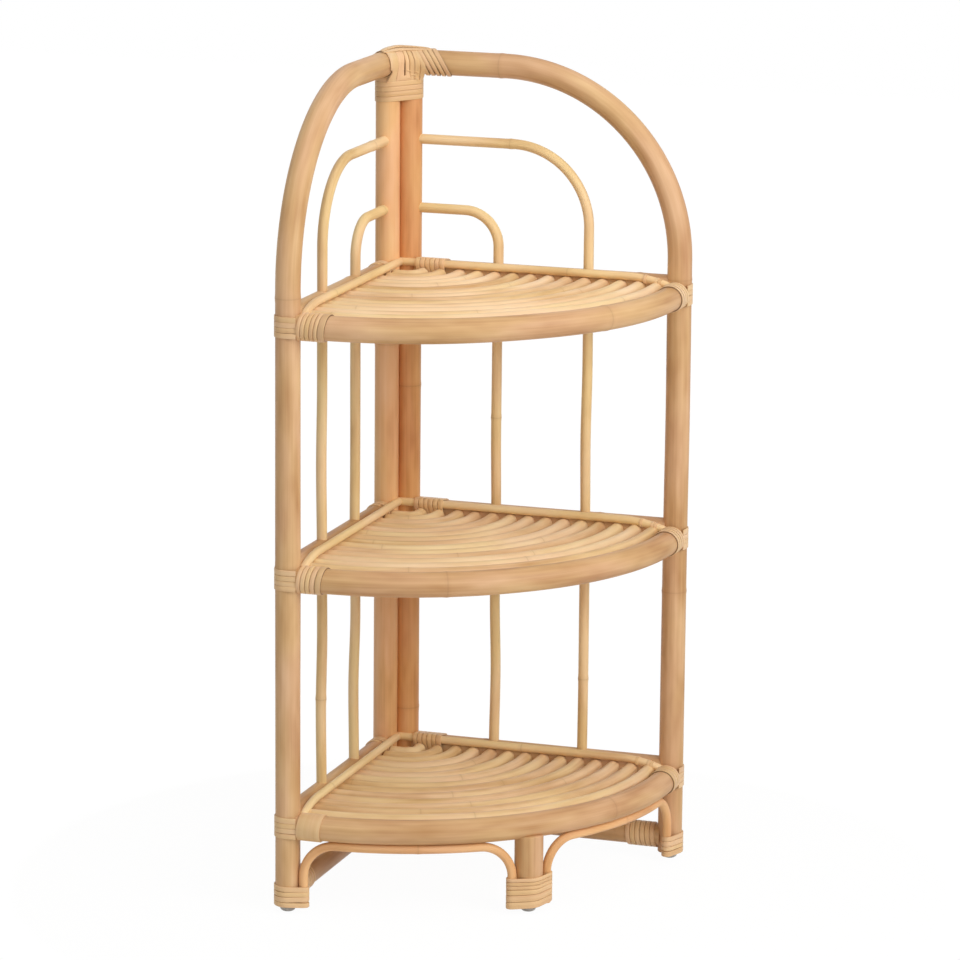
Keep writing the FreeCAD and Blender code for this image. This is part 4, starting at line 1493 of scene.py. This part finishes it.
@dataclass
class JointBindings:
    """Rail wraps and leg bands where the front rails meet the legs."""

    wrap_start: float = 0.0158  # first strand's edge, from the leg's axis
    wraps: dict[tuple[Side, Tier], RailLashing] = field(
        default_factory=lambda: {
            (Side.LEFT, Tier.TOP): RailLashing((0.0046, 0.0050, 0.0052, 0.0048, 0.0044, 0.0084), 0.08),
            (Side.LEFT, Tier.MIDDLE): RailLashing((0.0050, 0.0056, 0.0052, 0.0060, 0.0076), 0.06, 0.0004),
            (Side.LEFT, Tier.BOTTOM): RailLashing((0.0296,), 0.10, finish=PEEL_FINISH),
            (Side.RIGHT, Tier.TOP): RailLashing((0.0052, 0.0050, 0.0054, 0.0056), 0.03, 0.0020, 0.0017),
            (Side.RIGHT, Tier.MIDDLE): RailLashing((0.0052, 0.0054, 0.0052, 0.0056), 0.04, 0.0018, 0.0017),
            (Side.RIGHT, Tier.BOTTOM): RailLashing((0.0056, 0.0054, 0.0062, 0.0066), 0.05, 0.0006),
        }
    )
    band_widths: tuple[float, ...] = (0.0064, 0.0060, 0.0062, 0.0068)
    band_gap: float = 0.0001
    band_slope: float = 0.0004
    band_reach: float = 0.0150
    band_lift: float = 0.0002
    band_thickness: float = 0.0011
    band_bulge: float = 0.004  # most that a strand is off the leg, as a share
    seed: int = 2001

    def rail_wrap(self, side: Side, tier: Tier, seed: int) -> None:
        """Make the turns round one end of a front rail.

        Args:
            side: The panel at that end.
            tier: The shelf.
            seed: Seed of the strip's grain and tone.
        """
        plan = self.wraps[(side, tier)]
        turns = Turns(
            ((0.0, 0.0, SIZES.pole),),
            plan.widths,
            self.wrap_start,
            gap=plan.gap,
            lean=plan.lean,
            lean_angle=math.pi / 2,
            seam=0.5,
            thickness=plan.thickness,
        )
        place = frame_at((SIZES.half, SIZES.half, tier.value), TO_LEG, UP)
        piece = laid([turns.strip(seed)], f"{side.value}_{tier.label}_rail_lashing", place, side)
        hand_over(piece, plan.finish, [f"{side.value}_{tier.label}_rail_wrap"])

    def leg_bands(self, side: Side, seed: int) -> None:
        """Make the strands that go round the outside of one leg at all three shelves.

        Args:
            side: The leg's panel.
            seed: Seed of the strands' grain, tone and slope.
        """
        chance = random.Random(seed)
        radius = SIZES.pole + self.band_lift
        plan = [(radius, -self.band_reach), *arc(radius, 0, math.pi / 2), (-self.band_reach, radius)]
        strips = []
        for tier in Tier:
            gaps = self.band_gap * (len(self.band_widths) - 1)
            height = tier.value - (sum(self.band_widths) + gaps) / 2
            for width in self.band_widths:
                slope = chance.uniform(-1, 1) * self.band_slope
                middle = height + width / 2
                bulge = [(x * (1 + chance.uniform(0, self.band_bulge)), y) for x, y in plan]
                rise = (middle - slope, middle + slope)
                strips.append(strand(np.array(bulge), rise, width, seed + len(strips), self.band_thickness))
                height += width + self.band_gap
        place = Matrix.Translation((SIZES.half, SIZES.half, 0))
        piece = laid(strips, f"{side.value}_leg_lashings", place, side)
        hand_over(piece, PEEL_FINISH, [f"{side.value}_leg_bands"])

    def build(self) -> None:
        """Make the bindings of all six joints."""
        for number, side in enumerate(Side):
            for step, tier in enumerate(Tier):
                self.rail_wrap(side, tier, self.seed + 10 * number + step)
            self.leg_bands(side, self.seed + 100 * (number + 1))


@dataclass
class PanelBindings:
    """Wraps on the side rails by the back posts, on the trim rods' ends and on the base rails by the legs."""

    rear_start: float = 0.0367  # from the back corner
    rear_widths: dict[Side, tuple[float, ...]] = field(
        default_factory=lambda: {
            Side.RIGHT: (0.0058, 0.0062, 0.0056, 0.0060, 0.0058, 0.0062),
            Side.LEFT: (0.0056, 0.0062, 0.0056),
        }
    )
    ties: tuple[tuple[float, float], ...] = ((0.0317, 0.0038), (0.0172, 0.0040), (0.0128, 0.0036))
    # far edge from the trim rod's front end, and width, of each single strand near that end
    base_widths: tuple[float, ...] = (0.0056, 0.0060, 0.0058, 0.0062, 0.0058, 0.0054)
    base_start: float = 0.0160  # from the leg's axis
    seed: int = 2501

    def rear_wrap(
        self, side: Side, tier: Tier, trim: tuple[float, float, float], seed: int
    ) -> bpy.types.Object:
        """Turns by a back post, round the right rail with its trim rod or round the left rail alone.

        Args:
            side: The panel.
            tier: The shelf.
            trim: Place and radius of the trim rod, from the side rail's axis.
            seed: Seed of the strip's grain and tone.

        Returns:
            The turns.
        """
        rail = (0.0, 0.0, SIZES.rail)
        circles = (rail, trim) if side is Side.RIGHT else (rail,)
        turns = Turns(
            circles, self.rear_widths[side], self.rear_start, gap=0.0003, lean=0.05, lean_angle=0.3, seam=0.3
        )
        place = frame_at((-SIZES.half, SIZES.half, tier.value + SIZES.side_rise), (0, 1, 0), UP)
        return laid([turns.strip(seed)], "rear_lashing", place, side)

    def trim_ties(self, tier: Tier, shelves: Shelves, seed: int) -> bpy.types.Object:
        """Single strands round the front end of a right-hand trim rod.

        Args:
            tier: The shelf.
            shelves: The shelves with the trim rod.
            seed: Seed of the strips' grain and tone.

        Returns:
            The strands.
        """
        strips = []
        for index, (edge, width) in enumerate(self.ties):
            rod = (0.0, -shelves.trim_drop(edge - width / 2), shelves.trim_radius)
            ring = Turns((rod,), (width,), shelves.trim_end - edge, lean=0.2, thickness=0.0010)
            strips.append(ring.strip(seed + index))
        origin = (-SIZES.half, SIZES.half - shelves.trim_out, tier.value + shelves.trim_rise)
        return laid(strips, "trim_ties", frame_at(origin, (0, 1, 0), UP))

    def build(self, shelves: Shelves) -> None:
        """Make the wraps of both panels, round rails and trim rods of the given shelves.

        Args:
            shelves: The shelves.
        """
        trim = (-shelves.trim_out, shelves.trim_rise - SIZES.side_rise, shelves.trim_radius)
        for number, side in enumerate(Side):
            pieces = []
            for step, tier in enumerate(Tier):
                seed = self.seed + 100 * number + 10 * step
                pieces.append(self.rear_wrap(side, tier, trim, seed))
                if side is Side.RIGHT:
                    pieces.append(self.trim_ties(tier, shelves, seed + 1))
            rail = (0.0, 0.0, SIZES.rail)
            base = Turns((rail,), self.base_widths, self.base_start, lean=0.04, lean_angle=1.0, seam=0.5)
            place = frame_at((SIZES.half, SIZES.half, SIZES.base_height), TO_FRONT, UP)
            pieces.append(laid([base.strip(self.seed + 10 * number + 5)], "base_lashing", place, side))
            piece = join_up(f"{side.value}_panel_lashings", pieces)
            hand_over(piece, PEEL_FINISH, [f"{side.value}_side_wraps"])


@dataclass
class FootBindings:
    """Bindings that hold the apron rods against the legs and the centre foot."""

    widths: dict[Side, tuple[float, ...]] = field(
        default_factory=lambda: {
            Side.RIGHT: (0.0070, 0.0052, 0.0066, 0.0060), Side.LEFT: (0.0060, 0.0066, 0.0058, 0.0064)
        }
    )
    slope: float = 0.0014
    centre_widths: tuple[float, ...] = (0.0084, 0.0082, 0.0062, 0.0044, 0.0042, 0.0044)
    gap: float = 0.0003
    floor: float = 0.0078  # height of the lowest strand's edge
    tail: float = 0.015  # length beyond the leg's axis
    contact: float = 0.0006  # a plan line so close to an apron rod is on it
    beyond: float = 0.0005  # it is cut where it has come so close to the leg's middle line
    seed: int = 3001

    def leg_plan(self, apron: tuple[float, float], apron_radius: float) -> np.ndarray:
        """Plan line round an apron rod's end and the outside of the leg, from the leg's axis.

        Args:
            apron: The end's place, from the leg's axis.
            apron_radius: The rod's radius.

        Returns:
            The line.
        """
        ring = [(0.0, 0.0, SIZES.pole + SIZES.fit), (*apron, apron_radius + SIZES.fit)]
        loop = belt(ring)[:-1]
        reach = np.hypot(loop[:, 0] - apron[0], loop[:, 1] - apron[1])
        first = int(np.argmax(reach < apron_radius + self.contact))
        loop = np.roll(loop, -first, axis=0)
        back = np.flatnonzero((loop[:, 1] > 0) & (loop[:, 0] < self.beyond))[0]
        radius = SIZES.pole + SIZES.fit
        return np.array([*loop[:back], (0.0, radius), (-self.tail, radius)])

    def build(self, feet: Feet) -> None:
        """Make the three bindings round the given foot and apron rods.

        Args:
            feet: The foot and the apron rods.
        """
        leg_end, foot_end = feet.upright_ends()
        apron = (leg_end.x - SIZES.half, leg_end.y - SIZES.half)
        plan = self.leg_plan(apron, feet.apron_radius)
        for number, side in enumerate(Side):
            chance = random.Random(self.seed + number)
            height, strips = self.floor, []
            for width in self.widths[side]:
                slope = chance.uniform(-1, 1) * self.slope
                middle = height + width / 2
                seed = self.seed + 10 * number + len(strips)
                strips.append(strand(plan, (middle + slope, middle - slope), width, seed))
                height += width + self.gap
            place = Matrix.Translation((SIZES.half, SIZES.half, 0))
            piece = laid(strips, f"{side.value}_foot_lashing", place, side)
            hand_over(piece, PEEL_FINISH, [f"{side.value}_foot_binding"])
        along, inwards = Vector((1, 1, 0)).normalized(), Vector((-1, 1, 0)).normalized()
        offset = foot_end - feet.foot_place
        beside = (offset.dot(along), offset.dot(inwards))
        foot = (0.0, 0.0, feet.foot_radius)
        circles = (
            (beside[0], beside[1], feet.apron_radius),
            foot,
            (-beside[0], beside[1], feet.apron_radius),
            foot,
        )
        turns = Turns(circles, self.centre_widths, self.floor, gap=self.gap, seam=0.25)
        place = frame_at(feet.foot_place, along, inwards)
        piece = laid([turns.strip(self.seed + 40)], "front_foot_lashing", place)
        hand_over(piece, PEEL_FINISH, ["centre_foot_binding"])


def draped(points: np.ndarray, first: tuple[float, float], last: tuple[float, float]) -> np.ndarray:
    """The line drawn tight over points in a plane, counter-clockwise from one foot to the other.

    Args:
        points: Points that the line goes over.
        first: Foot on the right.
        last: Foot on the left.

    Returns:
        Corners of the line.
    """
    centre = np.array([(first[0] + last[0]) / 2, first[1]])
    inside = points[points[:, 1] > first[1]]
    order = np.argsort(np.arctan2(inside[:, 1] - centre[1], inside[:, 0] - centre[0]))
    chain: list[np.ndarray] = []
    for point in [np.array(first), *inside[order], np.array(last)]:
        while len(chain) > 1:
            (ax, ay), (bx, by) = chain[-2], chain[-1]
            if (bx - ax) * (point[1] - ay) - (by - ay) * (point[0] - ax) > 0:
                break
            chain.pop()
        chain.append(point)
    return np.array(chain)


def evened(line: np.ndarray, count: int) -> np.ndarray:
    """A line as a number of points at equal distances.

    Args:
        line: The line.
        count: The number.

    Returns:
        The points.
    """
    far = travelled(line)
    spots = np.linspace(0, far[-1], count)
    return np.column_stack([np.interp(spots, far, line[:, axis]) for axis in range(line.shape[1])])


class HoodForm:
    """The rounded form over the back corner that straps and cover strips lie on.

    Its own frame stands on the back corner: X points to the front, Y up and Z to the left.
    """

    rows = 65
    columns = 121
    arch_points = 90
    overhang = 0.9  # how far round an arch its outline goes beyond level, as an angle
    clear = 0.0004  # room over the arches
    sunk = 0.0009  # feet lie this far within the posts' faces
    least_depth = 0.006
    nudges = (0.001, 0.01)  # steps across and onwards that the slope is found with
    rim = 0.001  # keeps a point on the form's far edge within its last cell

    def __init__(self, valley: float, post: float, foot: float, reach: float) -> None:
        """Draw the form's outlines across its width.

        Args:
            valley: How far the hollow between the two arches is bridged.
            post: Distance of the posts' axes from the corner, to the front and to each side.
            foot: Height of the form's lower edge.
            reach: How far the form goes to each side.
        """
        self.reach = reach
        self.across = np.linspace(-reach, reach, self.rows)
        lines = []
        for place in self.across:
            middle = math.hypot(place, valley)
            angles = np.linspace(-self.overhang, math.pi + self.overhang, self.arch_points)
            wide, tall = SIZES.pole * math.sqrt(2) + self.clear, SIZES.pole + self.clear
            arch = np.column_stack((middle + wide * np.cos(angles), SIZES.crown + tall * np.sin(angles)))
            beyond = max(abs(place) - post, 0.0)
            depth = math.sqrt(max(SIZES.pole**2 - beyond**2, self.least_depth**2)) - self.sunk
            line = draped(arch, (post + depth, foot), (post - depth, foot))
            lines.append(evened(line, self.columns))
        self.lines = np.array(lines)
        self.lengths = np.array([travelled(line)[-1] for line in lines])

    def surface(self, across: np.ndarray, share: np.ndarray) -> np.ndarray:
        """Points of the form.

        Args:
            across: Distance to the right of the corner.
            share: Share of the way from the front foot over the top to the back foot.

        Returns:
            The points.
        """
        rows, columns = self.rows - 1, self.columns - 1
        row = np.clip((across / self.reach + 1) / 2 * rows, 0, rows - self.rim)
        column = np.clip(share * columns, 0, columns - self.rim)
        i, j = row.astype(int), column.astype(int)
        u, v = (row - i)[:, None], (column - j)[:, None]
        low = self.lines[i, j] * (1 - v) + self.lines[i, j + 1] * v
        high = self.lines[i + 1, j] * (1 - v) + self.lines[i + 1, j + 1] * v
        return np.column_stack((low * (1 - u) + high * u, -across))

    def places(self, across: np.ndarray, share: np.ndarray, lift: np.ndarray) -> np.ndarray:
        """Points above the form.

        Args:
            across: Distance to the right of the corner.
            share: Share of the way over the top.
            lift: Distance above the form.

        Returns:
            The points.
        """
        aside, ahead = self.nudges
        sideways = self.surface(across + aside, share) - self.surface(across - aside, share)
        onwards = self.surface(across, share + ahead) - self.surface(across, share - ahead)
        normal = np.cross(sideways, onwards)
        normal /= np.linalg.norm(normal, axis=1)[:, None]
        return self.surface(across, share) + normal * lift[:, None]

    def crest(self, across: np.ndarray) -> np.ndarray:
        """Share of the way over the top at which the form is highest."""
        top = np.argmax(self.lines[:, :, 1], axis=1) / (self.columns - 1)
        return np.interp(across, self.across, top)


@dataclass
class Crown:
    """The bound corner at the top: a band, straps over the corner, wraps on the arches and a cover."""

    band_widths: tuple[float, ...] = (0.0062, 0.0060, 0.0060, 0.0060, 0.0062)
    band_start: float = 0.9300
    band_gap: float = 0.0001
    band_thickness: float = 0.0009
    right_widths: tuple[float, ...] = (0.0056, 0.0052, 0.0056, 0.0052, 0.0058)
    right_start: float = 0.0318  # from the back corner
    right_gap: float = 0.0014
    right_shift: tuple[float, float] = (-0.0012, 0.0004)  # off the arch's axis
    right_lean: float = 0.74
    right_lean_angle: float = -2.27
    left_widths: tuple[float, ...] = (0.0060, 0.0064)
    left_start: float = 0.0300
    left_gap: float = 0.0001
    valley: float = 0.008  # how far the hollow between the arches is bridged
    hood_reach: float = 0.045  # how far the hood's form goes to each side
    hood_overlap: float = 0.006  # how far the straps' feet go down behind the band
    straps: tuple[tuple[float, float, float], ...] = (
        (-0.0235, 0.0114, -0.0060),
        (-0.0120, 0.0114, 0.0018),
        (0.0010, 0.0058, 0.0),
        (0.0071, 0.0060, 0.0),
        (0.0134, 0.0062, 0.0),
        (0.0199, 0.0060, 0.0),
    )  # left edge, to the right of the corner, width and growth to one side over the top of each strap
    gather: float = 0.2  # how much closer the right-hand straps lie over the top than at their feet
    covers: tuple[tuple[float, float, float], ...] = (
        (0.0095, 0.0066, 0.0012),
        (0.0025, 0.0070, 0.0026),
        (-0.0048, 0.0070, 0.0018),
    )  # distance in front of the crest, width and lift of each cover strip
    cover_reach: float = 0.0330
    knots: tuple[tuple[float, float], ...] = ((0.045, 0.0016), (0.085, 0.0018), (0.125, 0.0016))
    # share of the way over the top, and width, of each short strip woven across the straps
    knot_span: tuple[float, float] = (0.0030, 0.0175)
    strap_thickness: float = 0.0014
    strap_lift: float = 0.0001
    strap_bend: float = 0.3  # share of a strap's length from its front foot to the top's edge
    strap_ease: float = 0.1  # share of its length over which its growth sets in
    strap_sink: float = 6.0  # a strap that grows to the right lies lower, by its growth over this
    cover_thickness: float = 0.0013
    cover_lift: float = 0.0004
    cover_ends: tuple[float, float] = (0.45, 0.35)  # share of its distance and of its width left at an end
    cover_slack: float = 1.3  # a cover strip's length, as a share of the way across
    knot_thickness: float = 0.0010
    knot_step: float = 0.0010
    knot_lifts: tuple[float, float] = (0.0013, 0.0004)  # over a strap and under it
    knot_tones: float = 0.15
    weave: float = 0.0062  # width of a strap in the weave
    tone_spread: float = 0.1
    strap_seed: int = 4021
    seed: int = 4001

    @property
    def corner(self) -> Vector:
        """The back corner on the ground."""
        return Vector((-SIZES.half, SIZES.half, 0))

    def band(self) -> bpy.types.Object:
        """Turns round both back posts.

        Returns:
            The turns.
        """
        out = SIZES.post_out
        posts = ((out, 0.0, SIZES.pole), (0.0, -out, SIZES.pole))
        turns = Turns(
            posts,
            self.band_widths,
            self.band_start,
            gap=self.band_gap,
            seam=0.2,
            thickness=self.band_thickness,
        )
        return laid([turns.strip(self.seed)], "crown_lashing", Matrix.Translation(self.corner))

    def arch_wrap(self, side: Side) -> bpy.types.Object:
        """Turns round the end of one arch, slanted on the right-hand one.

        Args:
            side: The arch's panel.

        Returns:
            The turns.
        """
        right = side is Side.RIGHT
        middle = self.right_shift if right else (0.0, 0.0)
        turns = Turns(
            ((*middle, SIZES.pole),),
            self.right_widths if right else self.left_widths,
            self.right_start if right else self.left_start,
            gap=self.right_gap if right else self.left_gap,
            lean=self.right_lean if right else 0.0,
            lean_angle=self.right_lean_angle,
            seam=0.05,
        )
        place = frame_at((-SIZES.half, SIZES.half, SIZES.crown), (0, 1, 0), UP)
        return laid([turns.strip(self.seed + 2 + int(right))], f"{side.value}_crown_lashing", place, side)

    def strap(self, form: HoodForm, index: int) -> bpy.types.Object:
        """A strip from the front of the posts over the corner to their back.

        Args:
            form: The form that it lies on.
            index: Its number.

        Returns:
            The strip.
        """
        edge, width, growth = self.straps[index]
        middle = edge + width / 2
        length = float(np.interp(middle, form.across, form.lengths))
        piece = peel_stock(length, width, self.strap_thickness, cross_cuts=3)
        mark_peel(piece, self.strap_seed + index, self.tone_spread)
        x, y, z = coordinates(piece).T
        share = x / length
        over_top = np.clip((self.strap_bend - np.abs(share - 0.5)) / self.strap_ease, 0, 1)
        across = middle + z + growth * over_top * np.abs(z / width + math.copysign(0.5, growth))
        across *= 1 - self.gather * np.clip(share / self.strap_bend, 0, 1) * (across > 0)
        lift = -y + self.strap_lift - max(growth, 0.0) / self.strap_sink * over_top
        move_points(piece, form.places(across, share, lift))
        return piece

    def cover(self, form: HoodForm, index: int) -> bpy.types.Object:
        """A strip across the tops of the straps, arched a little above them.

        Args:
            form: The form that it lies on.
            index: Its number.

        Returns:
            The strip.
        """
        offset, width, lift = self.covers[index]
        length = 2 * self.cover_reach * self.cover_slack
        piece = peel_stock(length, width, self.cover_thickness, cross_cuts=3)
        mark_peel(piece, self.strap_seed + 20 + index, self.tone_spread)
        x, y, z = coordinates(piece).T
        across = (2 * x / length - 1) * self.cover_reach
        narrowed = np.clip(np.cos(across / self.cover_reach * math.pi / 2), 0, 1) ** 0.5
        closer, slimmer = (end + (1 - end) * narrowed for end in self.cover_ends)
        ahead = offset * closer + z * slimmer
        share = form.crest(across) - ahead / np.interp(across, form.across, form.lengths)
        move_points(piece, form.places(across, share, -y + self.cover_lift + lift * narrowed))
        return piece

    def knot(self, form: HoodForm, index: int) -> bpy.types.Object:
        """A short strip woven across the narrow straps, above the band.

        Args:
            form: The form that it lies on.
            index: Its number.

        Returns:
            The strip.
        """
        place, width = self.knots[index]
        first, last = self.knot_span
        piece = peel_stock(last - first, width, self.knot_thickness, step=self.knot_step)
        mark_peel(piece, self.strap_seed + 40 + index, self.knot_tones)
        x, y, z = coordinates(piece).T
        across = first + x
        share = place + z / np.interp(across, form.across, form.lengths)
        over = np.sin(((across - self.straps[2][0]) / self.weave + index) * math.pi) > 0
        move_points(piece, form.places(across, share, -y + np.where(over, *self.knot_lifts)))
        return piece

    def hood(self) -> bpy.types.Object:
        """Straps over the corner, strips woven across them and cover strips on their tops.

        Returns:
            All of them as one piece.
        """
        foot = self.band_start + sum(self.band_widths) - self.hood_overlap
        form = HoodForm(self.valley, SIZES.post_out / math.sqrt(2), foot, self.hood_reach)
        pieces = [self.strap(form, index) for index in range(len(self.straps))]
        pieces += [self.cover(form, index) for index in range(len(self.covers))]
        pieces += [self.knot(form, index) for index in range(len(self.knots))]
        hood = join_up("crown_hood", pieces)
        with edges_of(hood):
            bpy.ops.mesh.select_all(action="SELECT")
            bpy.ops.mesh.normals_make_consistent(inside=False)
        hood.data.transform(frame_at(self.corner, (1, -1, 0), UP))
        return hood

    def build(self) -> None:
        """Make the whole crown."""
        hand_over(self.band(), PEEL_FINISH, ["crown_band"])
        wraps = join_up("crown_arch_lashings", [self.arch_wrap(side) for side in Side])
        # the arch wraps wear the peel with painted shade on its strand edges
        hand_over(wraps, GAP_SHADE_PEEL_FINISH, ["crown_wraps"])
        hand_over(self.hood(), PEEL_FINISH, ["crown_cap"])


@dataclass
class Hardware:
    """Glides and screws, which keep their CAD shapes."""

    nodes: dict[str, bpy.types.Object]

    def build(self) -> None:
        """Give the plastic and the steel their finishes."""
        for name, finish in (("foot_glides", GLIDE_FINISH), ("joint_screws", SCREW_FINISH)):
            piece = self.nodes[name]
            piece.data.materials.clear()
            piece.data.materials.append(finish.material())
            LOG.info("%s: dressed in %s", name, finish.name)


@dataclass(frozen=True)
class Lamp:
    """A square soft lamp that points at the middle of the shelf."""

    name: str
    place: tuple[float, float, float]
    size: float
    power: float
    aim: tuple[float, float, float] = (0.0, 0.0, 0.5)

    def build(self) -> None:
        """Hang the lamp."""
        data = bpy.data.lights.new(self.name, "AREA")
        data.shape = "SQUARE"
        data.size = self.size
        data.energy = self.power
        lamp = bpy.data.objects.new(self.name, data)
        lamp.location = self.place
        lamp.rotation_euler = (Vector(self.aim) - Vector(self.place)).to_track_quat("-Z", "Y").to_euler()
        bpy.context.scene.collection.objects.link(lamp)


@dataclass
class Studio:
    """White floor, soft light and the camera."""

    azimuth: float = 18.31
    elevation: float = 12.41
    roll: float = 0.50
    distance: float = 5.80
    focal_pixels: float = 4823.5
    target: tuple[float, float, float] = (-0.01395, 0.01934, 0.4981)
    picture: float = 960.0  # its width in pixels
    sensor: float = 36.0  # in millimetres
    farthest: float = 50.0  # that the camera sees
    floor_size: float = 14.0
    floor_drop: float = 0.0004  # how far it lies under the glides
    paper: tuple[float, float, float, float] = (0.93, 0.93, 0.925, 1.0)
    whiteness: float = 0.955  # share of the floor that is plain white even under the shelf
    fade: tuple[float, float] = (0.18, 0.62)  # distances over which the floor turns white
    lamps: tuple[Lamp, ...] = (
        Lamp("key", (2.9, -1.15, 2.0), 2.0, 70.0),
        Lamp("overhead", (0.2, -0.7, 2.7), 2.4, 24.0),
        Lamp("fill", (0.3, -4.0, 1.2), 2.0, 14.0),
    )
    floor_glow: float = 1.012  # just over white, so that only the shadow shows
    ambient: float = 0.26
    ambient_tint: tuple[float, float, float, float] = (1.0, 0.95, 0.87, 1.0)

    def floor(self) -> None:
        """A pale floor that keeps the shadow near the shelf and fades to white."""
        bpy.ops.object.select_all(action="DESELECT")
        bpy.ops.mesh.primitive_plane_add(size=self.floor_size, location=(0, 0, -self.floor_drop))
        floor = bpy.context.active_object
        floor.name = "studio_floor"
        bpy.ops.object.transform_apply(location=True, rotation=True, scale=True)
        material, graph = new_material("studio_floor")
        place = graph.add("TexCoord").outputs["Object"]
        away = graph.add("VectorMath", {"operation": "LENGTH"}, i0=place).outputs["Value"]
        fade = graph.smooth(away, *self.fade)
        paper = graph.add("BsdfDiffuse", Color=self.paper).outputs[0]
        white = graph.add("Emission", Color=WHITE, Strength=self.floor_glow).outputs[0]
        share = graph.math("MULTIPLY", graph.math("MAXIMUM", fade, self.whiteness), graph.seen())
        graph.end(graph.add("MixShader", i0=share, i1=paper, i2=white).outputs[0])
        floor.data.materials.append(material)

    def world(self) -> None:
        """Even warm light all round, seen as white."""
        world = bpy.data.worlds.new("studio")
        bpy.context.scene.world = world
        world.use_nodes = True
        graph = Graph(world.node_tree)
        seen = graph.seen()
        strength = graph.math("ADD", graph.math("MULTIPLY", seen, 1.0 - self.ambient), self.ambient)
        colour = graph.blend(seen, self.ambient_tint, WHITE)
        graph.end(graph.add("Background", Color=colour, Strength=strength).outputs[0], "OutputWorld")

    def camera(self) -> None:
        """The camera at the photograph's angle."""
        data = bpy.data.cameras.new("camera")
        data.sensor_width = self.sensor
        data.lens = self.focal_pixels / self.picture * self.sensor
        data.clip_end = self.farthest
        camera = bpy.data.objects.new("camera", data)
        turn, climb = math.radians(self.azimuth), math.radians(self.elevation)
        back = Vector((math.sin(turn) * math.cos(climb), -math.cos(turn) * math.cos(climb), math.sin(climb)))
        camera.location = Vector(self.target) + back * self.distance
        aim = (-back).to_track_quat("-Z", "Y").to_matrix() @ Matrix.Rotation(math.radians(self.roll), 3, "Z")
        camera.rotation_euler = aim.to_euler()
        bpy.context.scene.collection.objects.link(camera)
        bpy.context.scene.camera = camera

    def build(self) -> None:
        """Set up the whole studio."""
        bpy.context.scene.view_settings.view_transform = "Standard"
        self.floor()
        self.world()
        for lamp in self.lamps:
            lamp.build()
        self.camera()
        LOG.info("studio set")


def main() -> None:
    """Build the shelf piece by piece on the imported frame."""
    logging.basicConfig(level=logging.INFO, format="%(message)s")
    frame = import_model()
    bpy.ops.object.select_all(action="DESELECT")
    shelves, feet = Shelves(), Feet()
    Posts().build()
    shelves.build()
    Spindles().build()
    feet.build()
    JointBindings().build()
    PanelBindings().build(shelves)
    FootBindings().build(feet)
    Crown().build()
    Hardware(frame["nodes"]).build()
    Studio().build()


if __name__ == "__main__":
    main()
